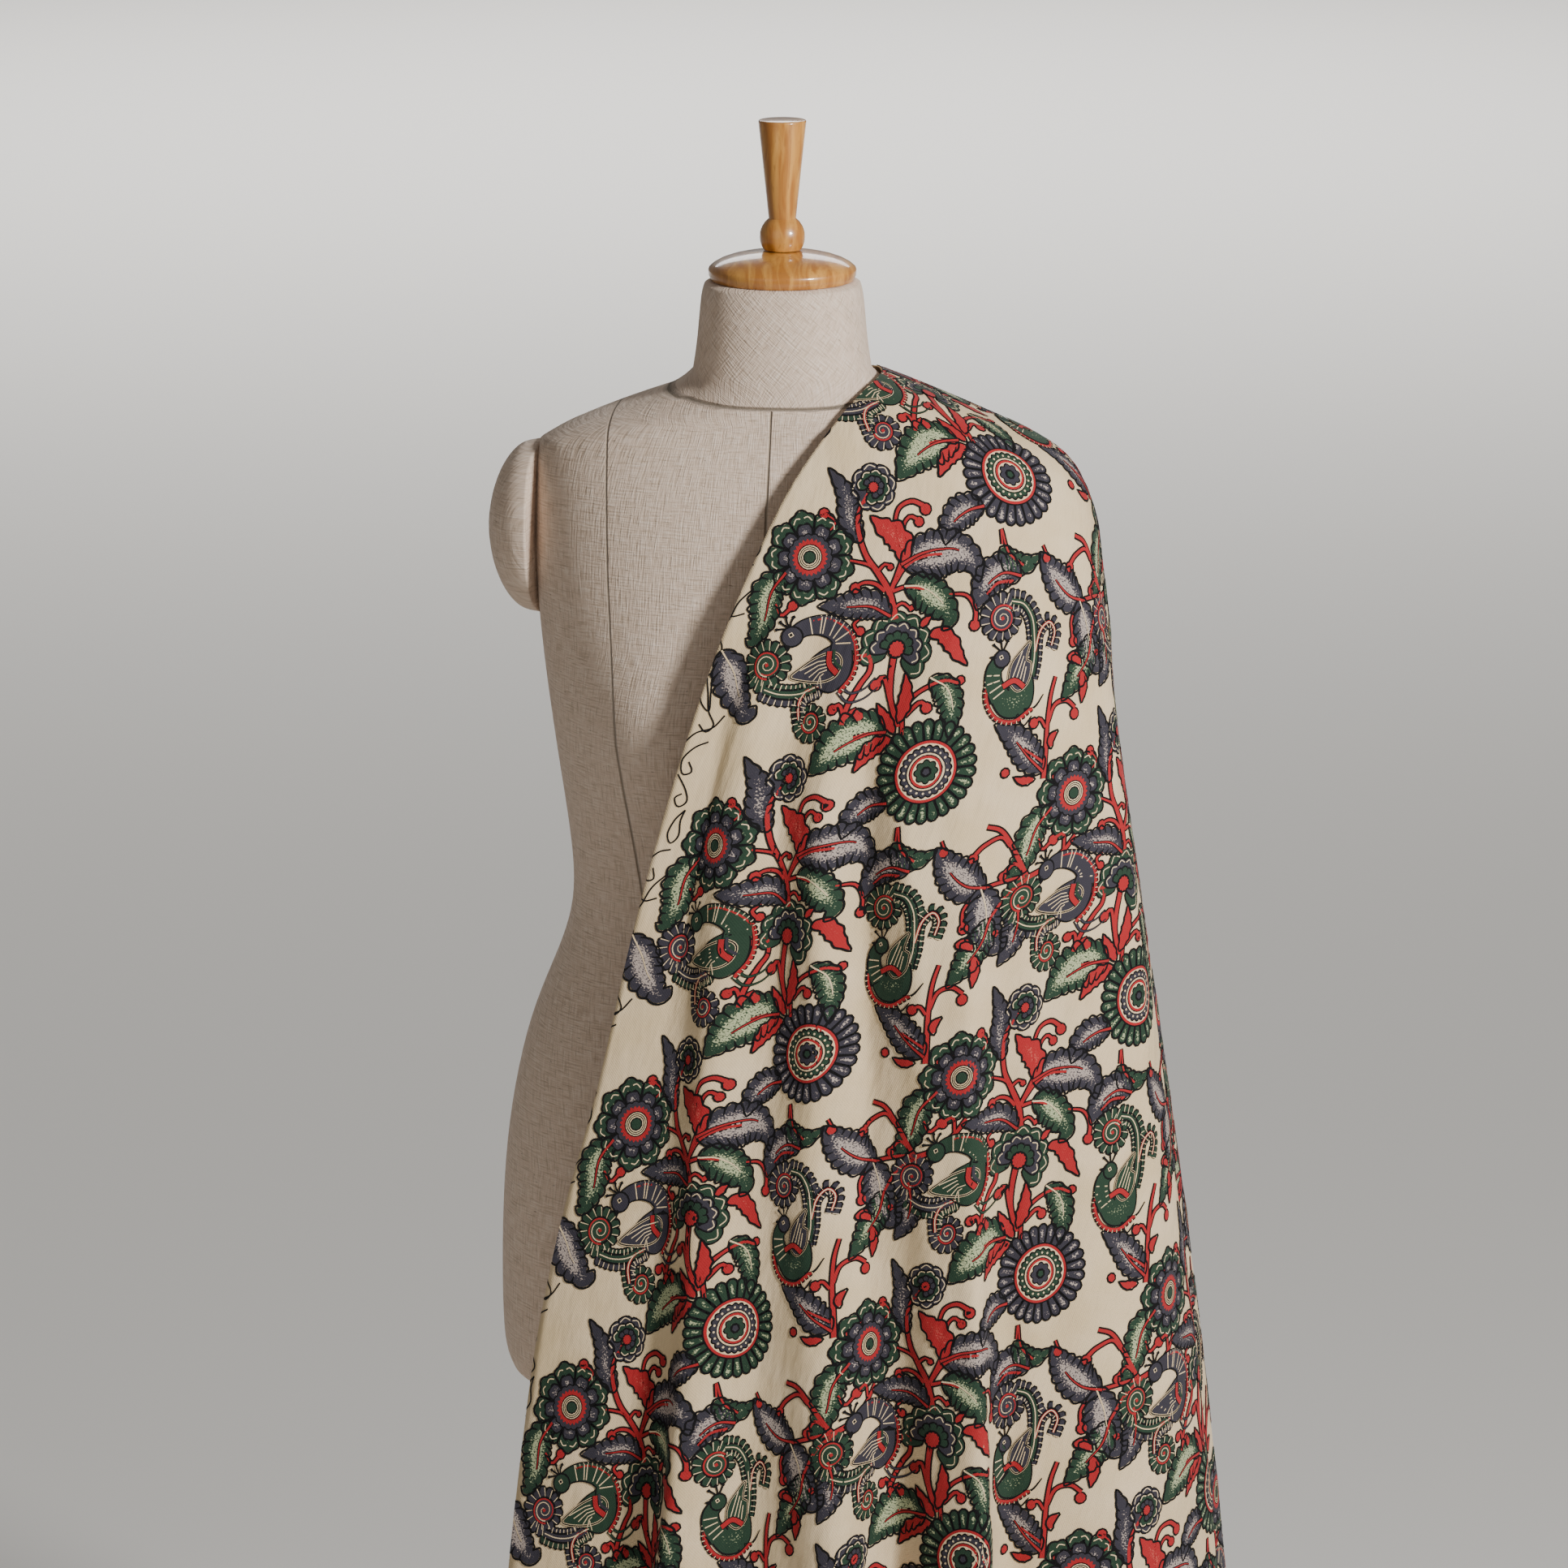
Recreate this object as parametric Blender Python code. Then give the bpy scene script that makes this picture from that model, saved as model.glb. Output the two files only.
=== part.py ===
"""A length of printed cotton draped over one shoulder of a linen dress form.

Metres, Z up, the form's front towards -Y. The origin is on the floor, on the pole's axis.
"""
import math
from collections import namedtuple

import bmesh
import bpy
from mathutils import Vector

# Gap kept between pieces that touch
SEAT_GAP = 0.0003
# Points of one skin that stand closer than this are one point
MERGE_DISTANCE = 0.00001
# Edges that turn further than this are drawn sharp
SHARP_ANGLE = math.radians(40.0)

# How far the form is turned from facing straight ahead
FORM_TURN = math.radians(-7.0)

# Torso: sections from the lower edge up to the neck
TORSO_SIDES = 44
TORSO_ROUNDNESS = 2.25
BODY_ROW = namedtuple("BODY_ROW", "height half_width front back shoulder_droop front_dip")
TORSO_ROWS = (
    BODY_ROW(0.7140, 0.1860, 0.1140, 0.1120, 0.0000, 0.0000),
    BODY_ROW(0.7180, 0.1920, 0.1200, 0.1180, 0.0000, 0.0000),
    BODY_ROW(0.7300, 0.1975, 0.1250, 0.1230, 0.0000, 0.0000),
    BODY_ROW(0.7600, 0.1990, 0.1270, 0.1270, 0.0000, 0.0000),
    BODY_ROW(0.8200, 0.1985, 0.1275, 0.1300, 0.0000, 0.0000),
    BODY_ROW(0.8800, 0.1950, 0.1250, 0.1280, 0.0000, 0.0000),
    BODY_ROW(0.9350, 0.1860, 0.1180, 0.1180, 0.0000, 0.0000),
    BODY_ROW(0.9800, 0.1740, 0.1100, 0.1050, 0.0000, 0.0000),
    BODY_ROW(1.0200, 0.1560, 0.1020, 0.0920, 0.0000, 0.0000),
    BODY_ROW(1.0500, 0.1460, 0.0990, 0.0870, 0.0000, 0.0000),
    BODY_ROW(1.0800, 0.1440, 0.0995, 0.0880, 0.0000, 0.0000),
    BODY_ROW(1.1200, 0.1485, 0.1040, 0.0930, 0.0000, 0.0000),
    BODY_ROW(1.1600, 0.1545, 0.1080, 0.0990, 0.0000, 0.0000),
    BODY_ROW(1.2000, 0.1600, 0.1100, 0.1040, 0.0000, 0.0000),
    BODY_ROW(1.2400, 0.1650, 0.1085, 0.1070, 0.0000, 0.0000),
    BODY_ROW(1.2800, 0.1685, 0.1035, 0.1070, 0.0010, 0.0000),
    BODY_ROW(1.3200, 0.1700, 0.0960, 0.1030, 0.0040, 0.0000),
    BODY_ROW(1.3550, 0.1695, 0.0860, 0.0950, 0.0080, 0.0000),
    BODY_ROW(1.3800, 0.1690, 0.0760, 0.0850, 0.0120, 0.0020),
    BODY_ROW(1.3990, 0.1660, 0.0690, 0.0730, 0.0200, 0.0060),
    BODY_ROW(1.4130, 0.1500, 0.0660, 0.0640, 0.0240, 0.0110),
    BODY_ROW(1.4205, 0.1120, 0.0640, 0.0600, 0.0170, 0.0130),
    BODY_ROW(1.4235, 0.0740, 0.0620, 0.0585, 0.0070, 0.0130),
    BODY_ROW(1.4300, 0.0605, 0.0595, 0.0570, 0.0000, 0.0110),
    BODY_ROW(1.4440, 0.0580, 0.0575, 0.0555, 0.0000, 0.0040),
    BODY_ROW(1.4640, 0.0560, 0.0560, 0.0545, 0.0000, 0.0000),
    BODY_ROW(1.4820, 0.0545, 0.0545, 0.0540, 0.0000, 0.0000),
    BODY_ROW(1.4880, 0.0525, 0.0525, 0.0520, 0.0000, 0.0000),
    BODY_ROW(1.4900, 0.0490, 0.0490, 0.0490, 0.0000, 0.0000),
)
BUST_HEIGHT = 1.190
BUST_APART = 0.078
BUST_PROUD = 0.022
BUST_SPREAD = 0.050
ARMHOLE_PLANE = 0.1685
ARMHOLE_FOOT = 1.1500

# Arm stubs
ARM_HEIGHT = 1.3180
ARM_HALF_HEIGHT = 0.0610
ARM_HALF_DEPTH = 0.0500
ARM_REACH = 0.0330
ARM_ROUNDNESS = 1.85
ARM_SIDES = 24
ARM_RINGS = 7

# Turned wood on the neck: a domed cap, a ball and a flared handle
TURNED_STEPS = 40
CAP_RADIUS = 0.0500
CAP_HEIGHT = 0.0200
CAP_RIM_RADIUS = 0.0480
CAP_RIM_HEIGHT = 0.0070
CAP_RIM_TAPER = 0.0004
CAP_DOME_STEPS = 7
CAP_DOME_FLATNESS = 0.8
BALL_RADIUS = 0.0153
BALL_FOOT_RADIUS = 0.0125
BALL_STEPS = 9
HANDLE_BASE_RADIUS = 0.0092
HANDLE_TOP_RADIUS = 0.0162
FINIAL_HEIGHT = 0.0870
FINIAL_EDGE = 0.0012

# Stand: a collar under the torso, a pole and a round base
COLLAR_RADIUS = 0.0330
COLLAR_HEIGHT = 0.0400
COLLAR_LIP = 0.0220
COLLAR_WAIST_RADIUS = 0.0238
COLLAR_WAIST_HEIGHT = 0.0048
COLLAR_FOOT_RADIUS = 0.0218
POLE_RADIUS = 0.0170
BASE_RADIUS = 0.2000
BASE_HEIGHT = 0.0250
BASE_EDGE = 0.0060
BASE_EDGE_STEPS = 3
BOSS_HEIGHT = 0.0550
BOSS_TOP_RADIUS = 0.0280
BOSS_RADIUS = 0.0350
BOSS_FOOT_RADIUS = 0.0400
BOSS_SPREAD_RADIUS = 0.0525

# Cloth: its thickness, and the shoulder line that it lies along
CLOTH_THICKNESS = 0.0014
CLOTH_CENTRE = 0.105
CLOTH_ROUNDNESS = 2.3
RIDGE_FALL = 0.42
CLOTH_STEPS = 31
# The sheet's two sides meet along the shoulder line within this distance and are one there
RIDGE_MERGE = 0.0006

# Cloth sections from the shoulder line down to the hem. level is the height at the section's
# centre, follow is how far the section keeps to the shoulder's slope, and tilt is the hem's
# fall to the wearer's side. right, front and back are the reach from the centre, and each edge
# column is where a selvedge stands.
CLOTH_ROW = namedtuple(
    "CLOTH_ROW", "level follow tilt right front back edge_x edge_share back_edge_x back_share")
CLOTH_ROWS = (
    CLOTH_ROW(1.4130, 1.00, 0.00, 0.0530, 0.0002, 0.0002, 0.0675, 0.00, 0.0675, 0.00),
    CLOTH_ROW(1.4125, 1.00, 0.00, 0.0670, 0.0180, 0.0170, 0.0665, 0.60, 0.0665, 0.60),
    CLOTH_ROW(1.4100, 1.00, 0.00, 0.0800, 0.0380, 0.0330, 0.0630, 0.74, 0.0640, 0.80),
    CLOTH_ROW(1.4040, 1.00, 0.00, 0.0915, 0.0570, 0.0490, 0.0565, 0.80, 0.0590, 0.88),
    CLOTH_ROW(1.3920, 1.00, 0.00, 0.1010, 0.0740, 0.0650, 0.0460, 0.83, 0.0500, 0.92),
    CLOTH_ROW(1.3690, 0.95, 0.00, 0.1085, 0.0910, 0.0840, 0.0290, 0.87, 0.0340, 0.94),
    CLOTH_ROW(1.3310, 0.85, 0.00, 0.1135, 0.1050, 0.1020, 0.0050, 0.92, 0.0100, 0.96),
    CLOTH_ROW(1.2850, 0.65, 0.00, 0.1180, 0.1180, 0.1140, -0.0190, 0.95, -0.0120, 0.96),
    CLOTH_ROW(1.2250, 0.40, 0.00, 0.1220, 0.1340, 0.1220, -0.0460, 0.95, -0.0340, 0.95),
    CLOTH_ROW(1.1500, 0.20, 0.00, 0.1310, 0.1460, 0.1270, -0.0720, 0.95, -0.0560, 0.94),
    CLOTH_ROW(1.0600, 0.05, 0.01, 0.1440, 0.1520, 0.1320, -0.0970, 0.93, -0.0780, 0.92),
    CLOTH_ROW(0.9600, 0.00, 0.03, 0.1590, 0.1590, 0.1400, -0.1190, 0.87, -0.1000, 0.90),
    CLOTH_ROW(0.8600, 0.00, 0.07, 0.1740, 0.1680, 0.1520, -0.1430, 0.83, -0.1220, 0.88),
    CLOTH_ROW(0.7600, 0.00, 0.12, 0.1880, 0.1780, 0.1640, -0.1610, 0.79, -0.1400, 0.86),
    CLOTH_ROW(0.6600, 0.00, 0.17, 0.2000, 0.1880, 0.1750, -0.1730, 0.77, -0.1550, 0.84),
    CLOTH_ROW(0.5600, 0.00, 0.21, 0.2100, 0.1970, 0.1850, -0.1830, 0.76, -0.1680, 0.82),
    CLOTH_ROW(0.4600, 0.00, 0.24, 0.2190, 0.2050, 0.1940, -0.1920, 0.75, -0.1800, 0.80),
    CLOTH_ROW(0.3600, 0.00, 0.26, 0.2270, 0.2120, 0.2020, -0.2000, 0.75, -0.1900, 0.80),
)

# Folds, each a crest or a hollow down one direction seen from above, in degrees from the
# wearer's side towards the back. out is how far it stands proud at the hem, lean is how far it
# tips towards the back, and it grows from its start height to its full height.
FOLD = namedtuple("FOLD", "name direction width out lean start full")
FOLDS = (
    FOLD("left hollow", -139.0, 4.0, -0.010, 0.000, 1.12, 0.60),
    FOLD("left crest", -130.0, 4.5, 0.020, -0.008, 1.12, 0.60),
    FOLD("middle crest", -109.5, 4.5, 0.022, 0.012, 1.02, 0.55),
    FOLD("middle hollow", -98.0, 5.0, -0.018, 0.000, 1.02, 0.55),
    FOLD("centre crest", -85.0, 4.0, 0.022, 0.012, 1.20, 0.60),
    FOLD("centre hollow", -75.0, 4.5, -0.014, 0.000, 1.20, 0.60),
    FOLD("soft crest", -54.0, 8.0, 0.012, 0.000, 1.00, 0.50),
    FOLD("side crest", -25.0, 6.0, 0.006, 0.004, 1.10, 0.55),
    FOLD("side hollow", -9.0, 5.0, -0.026, 0.000, 1.10, 0.55),
    FOLD("rear side crest", 7.0, 6.0, 0.008, 0.000, 1.12, 0.60),
    FOLD("deep hollow", 26.0, 6.0, -0.040, 0.000, 1.15, 0.60),
    FOLD("back right crest", 45.0, 7.0, 0.022, 0.000, 1.12, 0.55),
    FOLD("back right hollow", 63.0, 6.0, -0.020, 0.000, 1.05, 0.55),
    FOLD("back middle crest", 82.0, 7.0, 0.022, 0.006, 1.10, 0.55),
    FOLD("back middle hollow", 100.0, 6.0, -0.018, 0.000, 1.05, 0.55),
    FOLD("back left crest", 119.0, 7.0, 0.020, 0.000, 1.08, 0.55),
    FOLD("back left hollow", 136.0, 5.0, -0.010, 0.000, 1.00, 0.55),
)

# Where the columns of the cloth stand, seen from above in degrees. Those between the two ends
# keep their direction, so that they run down the folds, and the front gets more of them.
COLUMN_ZONE = namedtuple("COLUMN_ZONE", "name columns start end")
COLUMN_ZONES = (
    COLUMN_ZONE("front selvedge", 3, None, -143.0),
    COLUMN_ZONE("front", 34, -143.0, -12.0),
    COLUMN_ZONE("side and back", 24, -12.0, 142.0),
    COLUMN_ZONE("back selvedge", 2, 142.0, None),
)
CLOTH_COLUMNS = sum(zone.columns for zone in COLUMN_ZONES)
SELVEDGE_ZONE = 6.0

# Rows of the table between which the columns turn from even spacing to the folds' directions
FAN_START = 3.0
FAN_END = 9.0

# A fold deepens slowly at first, and below its full height it goes on at a lower rate
FOLD_ONSET = 1.3
FOLD_SPREAD = 0.35

MATERIAL = namedtuple("MATERIAL", "name colour roughness")
PRINTED_COTTON = MATERIAL("printed cotton", (0.73, 0.63, 0.47), 0.85)
LINEN = MATERIAL("linen", (0.58, 0.53, 0.46), 0.9)
VARNISHED_BEECH = MATERIAL("varnished beech", (0.62, 0.38, 0.15), 0.25)


def make_material(kind):
    """Return the Principled material of one kind, made once."""
    found = bpy.data.materials.get(kind.name)
    if found:
        return found
    material = bpy.data.materials.new(kind.name)
    material.use_nodes = True
    shader = material.node_tree.nodes["Principled BSDF"]
    shader.inputs["Base Color"].default_value = (*kind.colour, 1.0)
    shader.inputs["Roughness"].default_value = kind.roughness
    shader.inputs["Metallic"].default_value = 0.0
    material.diffuse_color = (*kind.colour, 1.0)
    return material


def make_object(name, mesh_data, kind, parent=None):
    """Turn a bmesh into a named, smooth-shaded object with its material."""
    mesh = bpy.data.meshes.new(name)
    bmesh.ops.recalc_face_normals(mesh_data, faces=mesh_data.faces)
    mesh_data.to_mesh(mesh)
    mesh_data.free()
    mesh.shade_smooth()
    mesh.set_sharp_from_angle(angle=SHARP_ANGLE)
    mesh.materials.append(make_material(kind))
    piece = bpy.data.objects.new(name, mesh)
    bpy.context.collection.objects.link(piece)
    piece.parent = parent
    return piece


def signed_power(value, power):
    """Raise a value's size to a power and keep its sign."""
    return math.copysign(abs(value) ** power, value)


def oval_point(angle, right, left, front, back, roundness):
    """Return x and y on an oval with four reaches, front towards -Y."""
    across = math.cos(angle)
    along = math.sin(angle)
    power = 2.0 / roundness
    x = signed_power(across, power) * (right if across > 0.0 else left)
    y = signed_power(along, power) * (back if along > 0.0 else front)
    return x, y


def smooth_row(rows, place):
    """Return the table's columns at a place between its rows, on a smooth curve."""
    index = min(int(place), len(rows) - 2)
    share = place - index
    before = rows[max(index - 1, 0)]
    start = rows[index]
    end = rows[index + 1]
    after = rows[min(index + 2, len(rows) - 1)]
    values = []
    for p, a, b, n in zip(before, start, end, after):
        slope_a = (b - p) / 2.0
        slope_b = (n - a) / 2.0
        cubic = 2.0 * a - 2.0 * b + slope_a + slope_b
        square = 3.0 * b - 3.0 * a - 2.0 * slope_a - slope_b
        values.append(((cubic * share + square) * share + slope_a) * share + a)
    return type(start)(*values)


def loft(rings):
    """Join rings of points into one closed skin, capped at both ends."""
    skin = bmesh.new()
    loops = []
    for ring in rings:
        verts = [skin.verts.new(point) for point in ring]
        edges = [skin.edges.new((verts[i - 1], verts[i])) for i in range(len(verts))]
        loops.append(edges)
    for lower, upper in zip(loops, loops[1:]):
        bmesh.ops.bridge_loops(skin, edges=lower + upper)
    for end in (loops[0], loops[-1]):
        bmesh.ops.contextual_create(skin, geom=end)
    return skin


def turned(profile):
    """Spin a radius and height profile, closed on the axis, into a solid."""
    solid = bmesh.new()
    verts = [solid.verts.new((radius, 0.0, height)) for radius, height in profile]
    edges = [solid.edges.new(pair) for pair in zip(verts, verts[1:])]
    bmesh.ops.spin(solid, geom=verts + edges, axis=(0.0, 0.0, 1.0), angle=math.tau,
                   steps=TURNED_STEPS, use_merge=True)
    bmesh.ops.remove_doubles(solid, verts=solid.verts, dist=MERGE_DISTANCE)
    return solid


def arc(centre_radius, centre_height, radius, start, end, steps):
    """Return profile points round a centre, with the angles in degrees above level."""
    points = []
    for step in range(steps + 1):
        angle = math.radians(start + (end - start) * step / steps)
        points.append((centre_radius + radius * math.cos(angle),
                       centre_height + radius * math.sin(angle)))
    return points


def bust_swell(x, height):
    """Return how far the bust pushes the front of the torso forward at a place."""
    swell = 0.0
    for side in (-BUST_APART, BUST_APART):
        away = math.hypot(x - side, height - BUST_HEIGHT)
        swell += BUST_PROUD * math.exp(-((away / BUST_SPREAD) ** 2))
    return swell


def torso_ring(row):
    """Return one section of the torso, with its flat armholes."""
    ring = []
    for side in range(TORSO_SIDES):
        angle = math.tau * side / TORSO_SIDES
        x, y = oval_point(angle, row.half_width, row.half_width, row.front, row.back,
                          TORSO_ROUNDNESS)
        height = row.height - row.shoulder_droop * (x / row.half_width) ** 2
        if y < 0.0:
            forward = -y / row.front
            height -= row.front_dip * forward ** 2
            y -= bust_swell(x, height) * forward
        if row.height > ARMHOLE_FOOT:
            x = max(-ARMHOLE_PLANE, min(ARMHOLE_PLANE, x))
        ring.append(Vector((x, y, height)))
    return ring


def make_torso(turn):
    """Torso and short neck, the padded and covered body of the form."""
    return make_object("torso", loft([torso_ring(row) for row in TORSO_ROWS]), LINEN, turn)


def make_arm(turn, name, side):
    """One upper-arm stub, flat against its armhole."""
    inner = ARMHOLE_PLANE + SEAT_GAP
    rings = []
    for ring in range(ARM_RINGS):
        angle = math.pi / 2.0 * ring / ARM_RINGS
        reach = ARM_REACH * math.sin(angle)
        spread = math.cos(angle) ** (2.0 / ARM_ROUNDNESS)
        points = []
        for step in range(ARM_SIDES):
            around = math.tau * step / ARM_SIDES
            points.append(Vector((side * (inner + reach),
                                  ARM_HALF_DEPTH * spread * math.cos(around),
                                  ARM_HEIGHT + ARM_HALF_HEIGHT * spread * math.sin(around))))
        rings.append(points)
    return make_object(name, loft(rings), LINEN, turn)


def make_neck_cap(turn):
    """Domed disc of turned wood that closes the neck."""
    seat = TORSO_ROWS[-1].height + SEAT_GAP
    dome = CAP_HEIGHT - CAP_RIM_HEIGHT
    profile = [(0.0, seat + CAP_HEIGHT)]
    for step in range(1, CAP_DOME_STEPS):
        angle = math.pi / 2.0 * step / CAP_DOME_STEPS
        rise = dome * math.cos(angle) ** CAP_DOME_FLATNESS
        profile.append((CAP_RADIUS * math.sin(angle), seat + CAP_RIM_HEIGHT + rise))
    profile.append((CAP_RADIUS, seat + CAP_RIM_HEIGHT))
    profile.append((CAP_RADIUS - CAP_RIM_TAPER, seat + CAP_RIM_HEIGHT / 2.0))
    profile.append((CAP_RIM_RADIUS, seat))
    profile.append((0.0, seat))
    return make_object("neck_cap", turned(profile), VARNISHED_BEECH, turn)


def make_finial(turn):
    """Ball and flared handle, turned in one piece, that screws down on the cap."""
    seat = TORSO_ROWS[-1].height + SEAT_GAP + CAP_HEIGHT + SEAT_GAP
    ball_height = seat + math.sqrt(BALL_RADIUS ** 2 - BALL_FOOT_RADIUS ** 2)
    top = seat + FINIAL_HEIGHT
    foot_angle = -math.degrees(math.acos(BALL_FOOT_RADIUS / BALL_RADIUS))
    neck_angle = math.degrees(math.acos(HANDLE_BASE_RADIUS / BALL_RADIUS))
    profile = [(0.0, top), (HANDLE_TOP_RADIUS - FINIAL_EDGE, top),
               (HANDLE_TOP_RADIUS, top - FINIAL_EDGE)]
    profile += arc(0.0, ball_height, BALL_RADIUS, neck_angle, foot_angle, BALL_STEPS)
    profile.append((0.0, seat))
    return make_object("finial", turned(profile), VARNISHED_BEECH, turn)


def make_collar(turn):
    """Turned wood collar that carries the torso on the pole."""
    top = TORSO_ROWS[0].height - SEAT_GAP
    foot = top - COLLAR_HEIGHT
    profile = [(0.0, top), (COLLAR_RADIUS, top), (COLLAR_RADIUS, top - COLLAR_LIP),
               (COLLAR_WAIST_RADIUS, foot + COLLAR_WAIST_HEIGHT), (COLLAR_FOOT_RADIUS, foot),
               (0.0, foot)]
    return make_object("collar", turned(profile), VARNISHED_BEECH, turn)


def make_pole(turn):
    """Turned wood pole between the collar and the base."""
    top = TORSO_ROWS[0].height - COLLAR_HEIGHT - 2.0 * SEAT_GAP
    foot = BOSS_HEIGHT + SEAT_GAP
    profile = [(0.0, top), (POLE_RADIUS, top), (POLE_RADIUS, foot), (0.0, foot)]
    return make_object("pole", turned(profile), VARNISHED_BEECH, turn)


def make_base(turn):
    """Round wood base with a raised boss under the pole."""
    shoulder = BASE_HEIGHT - BASE_EDGE
    profile = [(0.0, BOSS_HEIGHT), (BOSS_TOP_RADIUS, BOSS_HEIGHT),
               (BOSS_RADIUS, BOSS_HEIGHT - BASE_EDGE),
               (BOSS_FOOT_RADIUS, BASE_HEIGHT + BASE_EDGE),
               (BOSS_SPREAD_RADIUS, BASE_HEIGHT)]
    profile += arc(BASE_RADIUS - BASE_EDGE, shoulder, BASE_EDGE, 90.0, 0.0, BASE_EDGE_STEPS)
    profile += [(BASE_RADIUS, 0.0), (0.0, 0.0)]
    return make_object("base", turned(profile), VARNISHED_BEECH, turn)


def shoulder_line(x):
    """Return how far the shoulder line at x lies above its place at the cloth's centre."""
    return RIDGE_FALL * (CLOTH_CENTRE - x)


def selvedge_direction(edge_x, edge_depth):
    """Return the direction of a selvedge seen from the cloth's centre, in degrees."""
    return math.degrees(math.atan2(edge_depth, edge_x - CLOTH_CENTRE))


def oval_reach(edge_x, share):
    """Return the reach towards the neck that makes the oval pass through the selvedge."""
    return (CLOTH_CENTRE - edge_x) / (1.0 - share ** CLOTH_ROUNDNESS) ** (1.0 / CLOTH_ROUNDNESS)


def column_direction(column, front_edge, back_edge):
    """Return a column's direction in degrees, between the directions of the two selvedges."""
    first = front_edge + SELVEDGE_ZONE
    last = back_edge - SELVEDGE_ZONE
    for zone in COLUMN_ZONES:
        if column <= zone.columns or zone is COLUMN_ZONES[-1]:
            start = front_edge if zone.start is None else max(zone.start, first)
            end = back_edge if zone.end is None else min(zone.end, last)
            if zone.start is None:
                end = max(end, first)
            if zone.end is None:
                start = min(start, last)
            return start + (end - start) * column / zone.columns
        column -= zone.columns


def oval_angle(direction, right, left, front, back):
    """Return the oval's own angle for the point that lies in a direction, in degrees."""
    turn = math.radians(direction)
    across = abs(math.cos(turn)) / (right if math.cos(turn) > 0.0 else left)
    along = abs(math.sin(turn)) / (back if math.sin(turn) > 0.0 else front)
    half = CLOTH_ROUNDNESS / 2.0
    lift = math.degrees(math.atan2(along ** half, across ** half))
    lift = lift if math.cos(turn) > 0.0 else 180.0 - lift
    return math.copysign(lift, direction)


def fold_growth(fold, height):
    """Return the share of a fold's depth that it has at a height."""
    share = (fold.start - height) / (fold.start - fold.full)
    if share > 1.0:
        return 1.0 + FOLD_SPREAD * (share - 1.0)
    return max(0.0, share) ** FOLD_ONSET


def cloth_point(column, place):
    """Return a point of the cloth: columns from the front selvedge round to the back one,
    and places down the table's rows from the shoulder line."""
    row = smooth_row(CLOTH_ROWS, place)
    front = max(row.front, 0.0)
    back = max(row.back, 0.0)
    front_share = max(row.edge_share, 0.0)
    back_share = max(row.back_share, 0.0)
    front_left = oval_reach(row.edge_x, front_share)
    back_left = oval_reach(row.back_edge_x, back_share)
    front_edge = selvedge_direction(row.edge_x, -front_share * front)
    back_edge = selvedge_direction(row.back_edge_x, back_share * back)
    direction = column_direction(column, front_edge, back_edge)
    left = front_left if direction < 0.0 else back_left
    fanned = oval_angle(direction, row.right, left, front, back)
    first = oval_angle(front_edge, row.right, front_left, front, back)
    last = oval_angle(back_edge, row.right, back_left, front, back)
    even = first + (last - first) * column / CLOTH_COLUMNS
    fan = min(max((place - FAN_START) / (FAN_END - FAN_START), 0.0), 1.0)
    angle = math.radians(even + (fanned - even) * fan * fan * (3.0 - 2.0 * fan))
    left = front_left if angle < 0.0 else back_left
    x, y = oval_point(angle, row.right, left, front, back, CLOTH_ROUNDNESS)
    level = row.level + row.follow * shoulder_line(CLOTH_CENTRE + x) - row.tilt * x
    direction = math.degrees(math.atan2(y, x))
    outward = Vector((x, y, 0.0)).normalized()
    sideways = Vector((-outward.y, outward.x, 0.0))
    point = Vector((CLOTH_CENTRE + x, y, level))
    for fold in FOLDS:
        offset = (direction - fold.direction) / fold.width
        amount = fold_growth(fold, row.level) * math.exp(-offset * offset)
        point += outward * fold.out * amount + sideways * fold.lean * amount
    return point


def make_cloth():
    """The cloth: one thin sheet over the shoulder, from the front selvedge round the side to
    the back one. The grid's first row lies double along the shoulder line and is merged."""
    sheet = bmesh.new()
    bmesh.ops.create_grid(sheet, x_segments=CLOTH_COLUMNS, y_segments=CLOTH_STEPS, size=0.5)
    last_row = len(CLOTH_ROWS) - 1
    for vert in sheet.verts:
        column = (vert.co.x + 0.5) * CLOTH_COLUMNS
        place = (vert.co.y + 0.5) * last_row
        vert.co = cloth_point(column, place)
    bmesh.ops.remove_doubles(sheet, verts=sheet.verts, dist=RIDGE_MERGE)
    bmesh.ops.recalc_face_normals(sheet, faces=sheet.faces)
    bmesh.ops.solidify(sheet, geom=sheet.faces, thickness=CLOTH_THICKNESS)
    return make_object("cloth", sheet, PRINTED_COTTON)


def main():
    for old in list(bpy.data.objects):
        bpy.data.objects.remove(old)
    turn = bpy.data.objects.new("form_turn", None)
    turn.rotation_euler = (0.0, 0.0, FORM_TURN)
    bpy.context.collection.objects.link(turn)
    make_torso(turn)
    make_arm(turn, "arm_stub_right", 1.0)
    make_arm(turn, "arm_stub_left", -1.0)
    make_neck_cap(turn)
    make_finial(turn)
    make_collar(turn)
    make_pole(turn)
    make_base(turn)
    make_cloth()


main()
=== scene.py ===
"""Kalamkari cloth draped over one shoulder of a linen dress form.

Laid out as an add-on and run as a script. Metres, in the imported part's frame, and millimetres
for the print. Properties hold the sizes and colours that a user would change.
"""

import math
from collections import namedtuple

import bmesh
import bpy
import numpy as np
from bpy.props import FloatProperty, FloatVectorProperty, IntProperty, PointerProperty
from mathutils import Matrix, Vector
from mathutils.bvhtree import BVHTree
from mathutils.geometry import delaunay_2d_cdt


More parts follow.
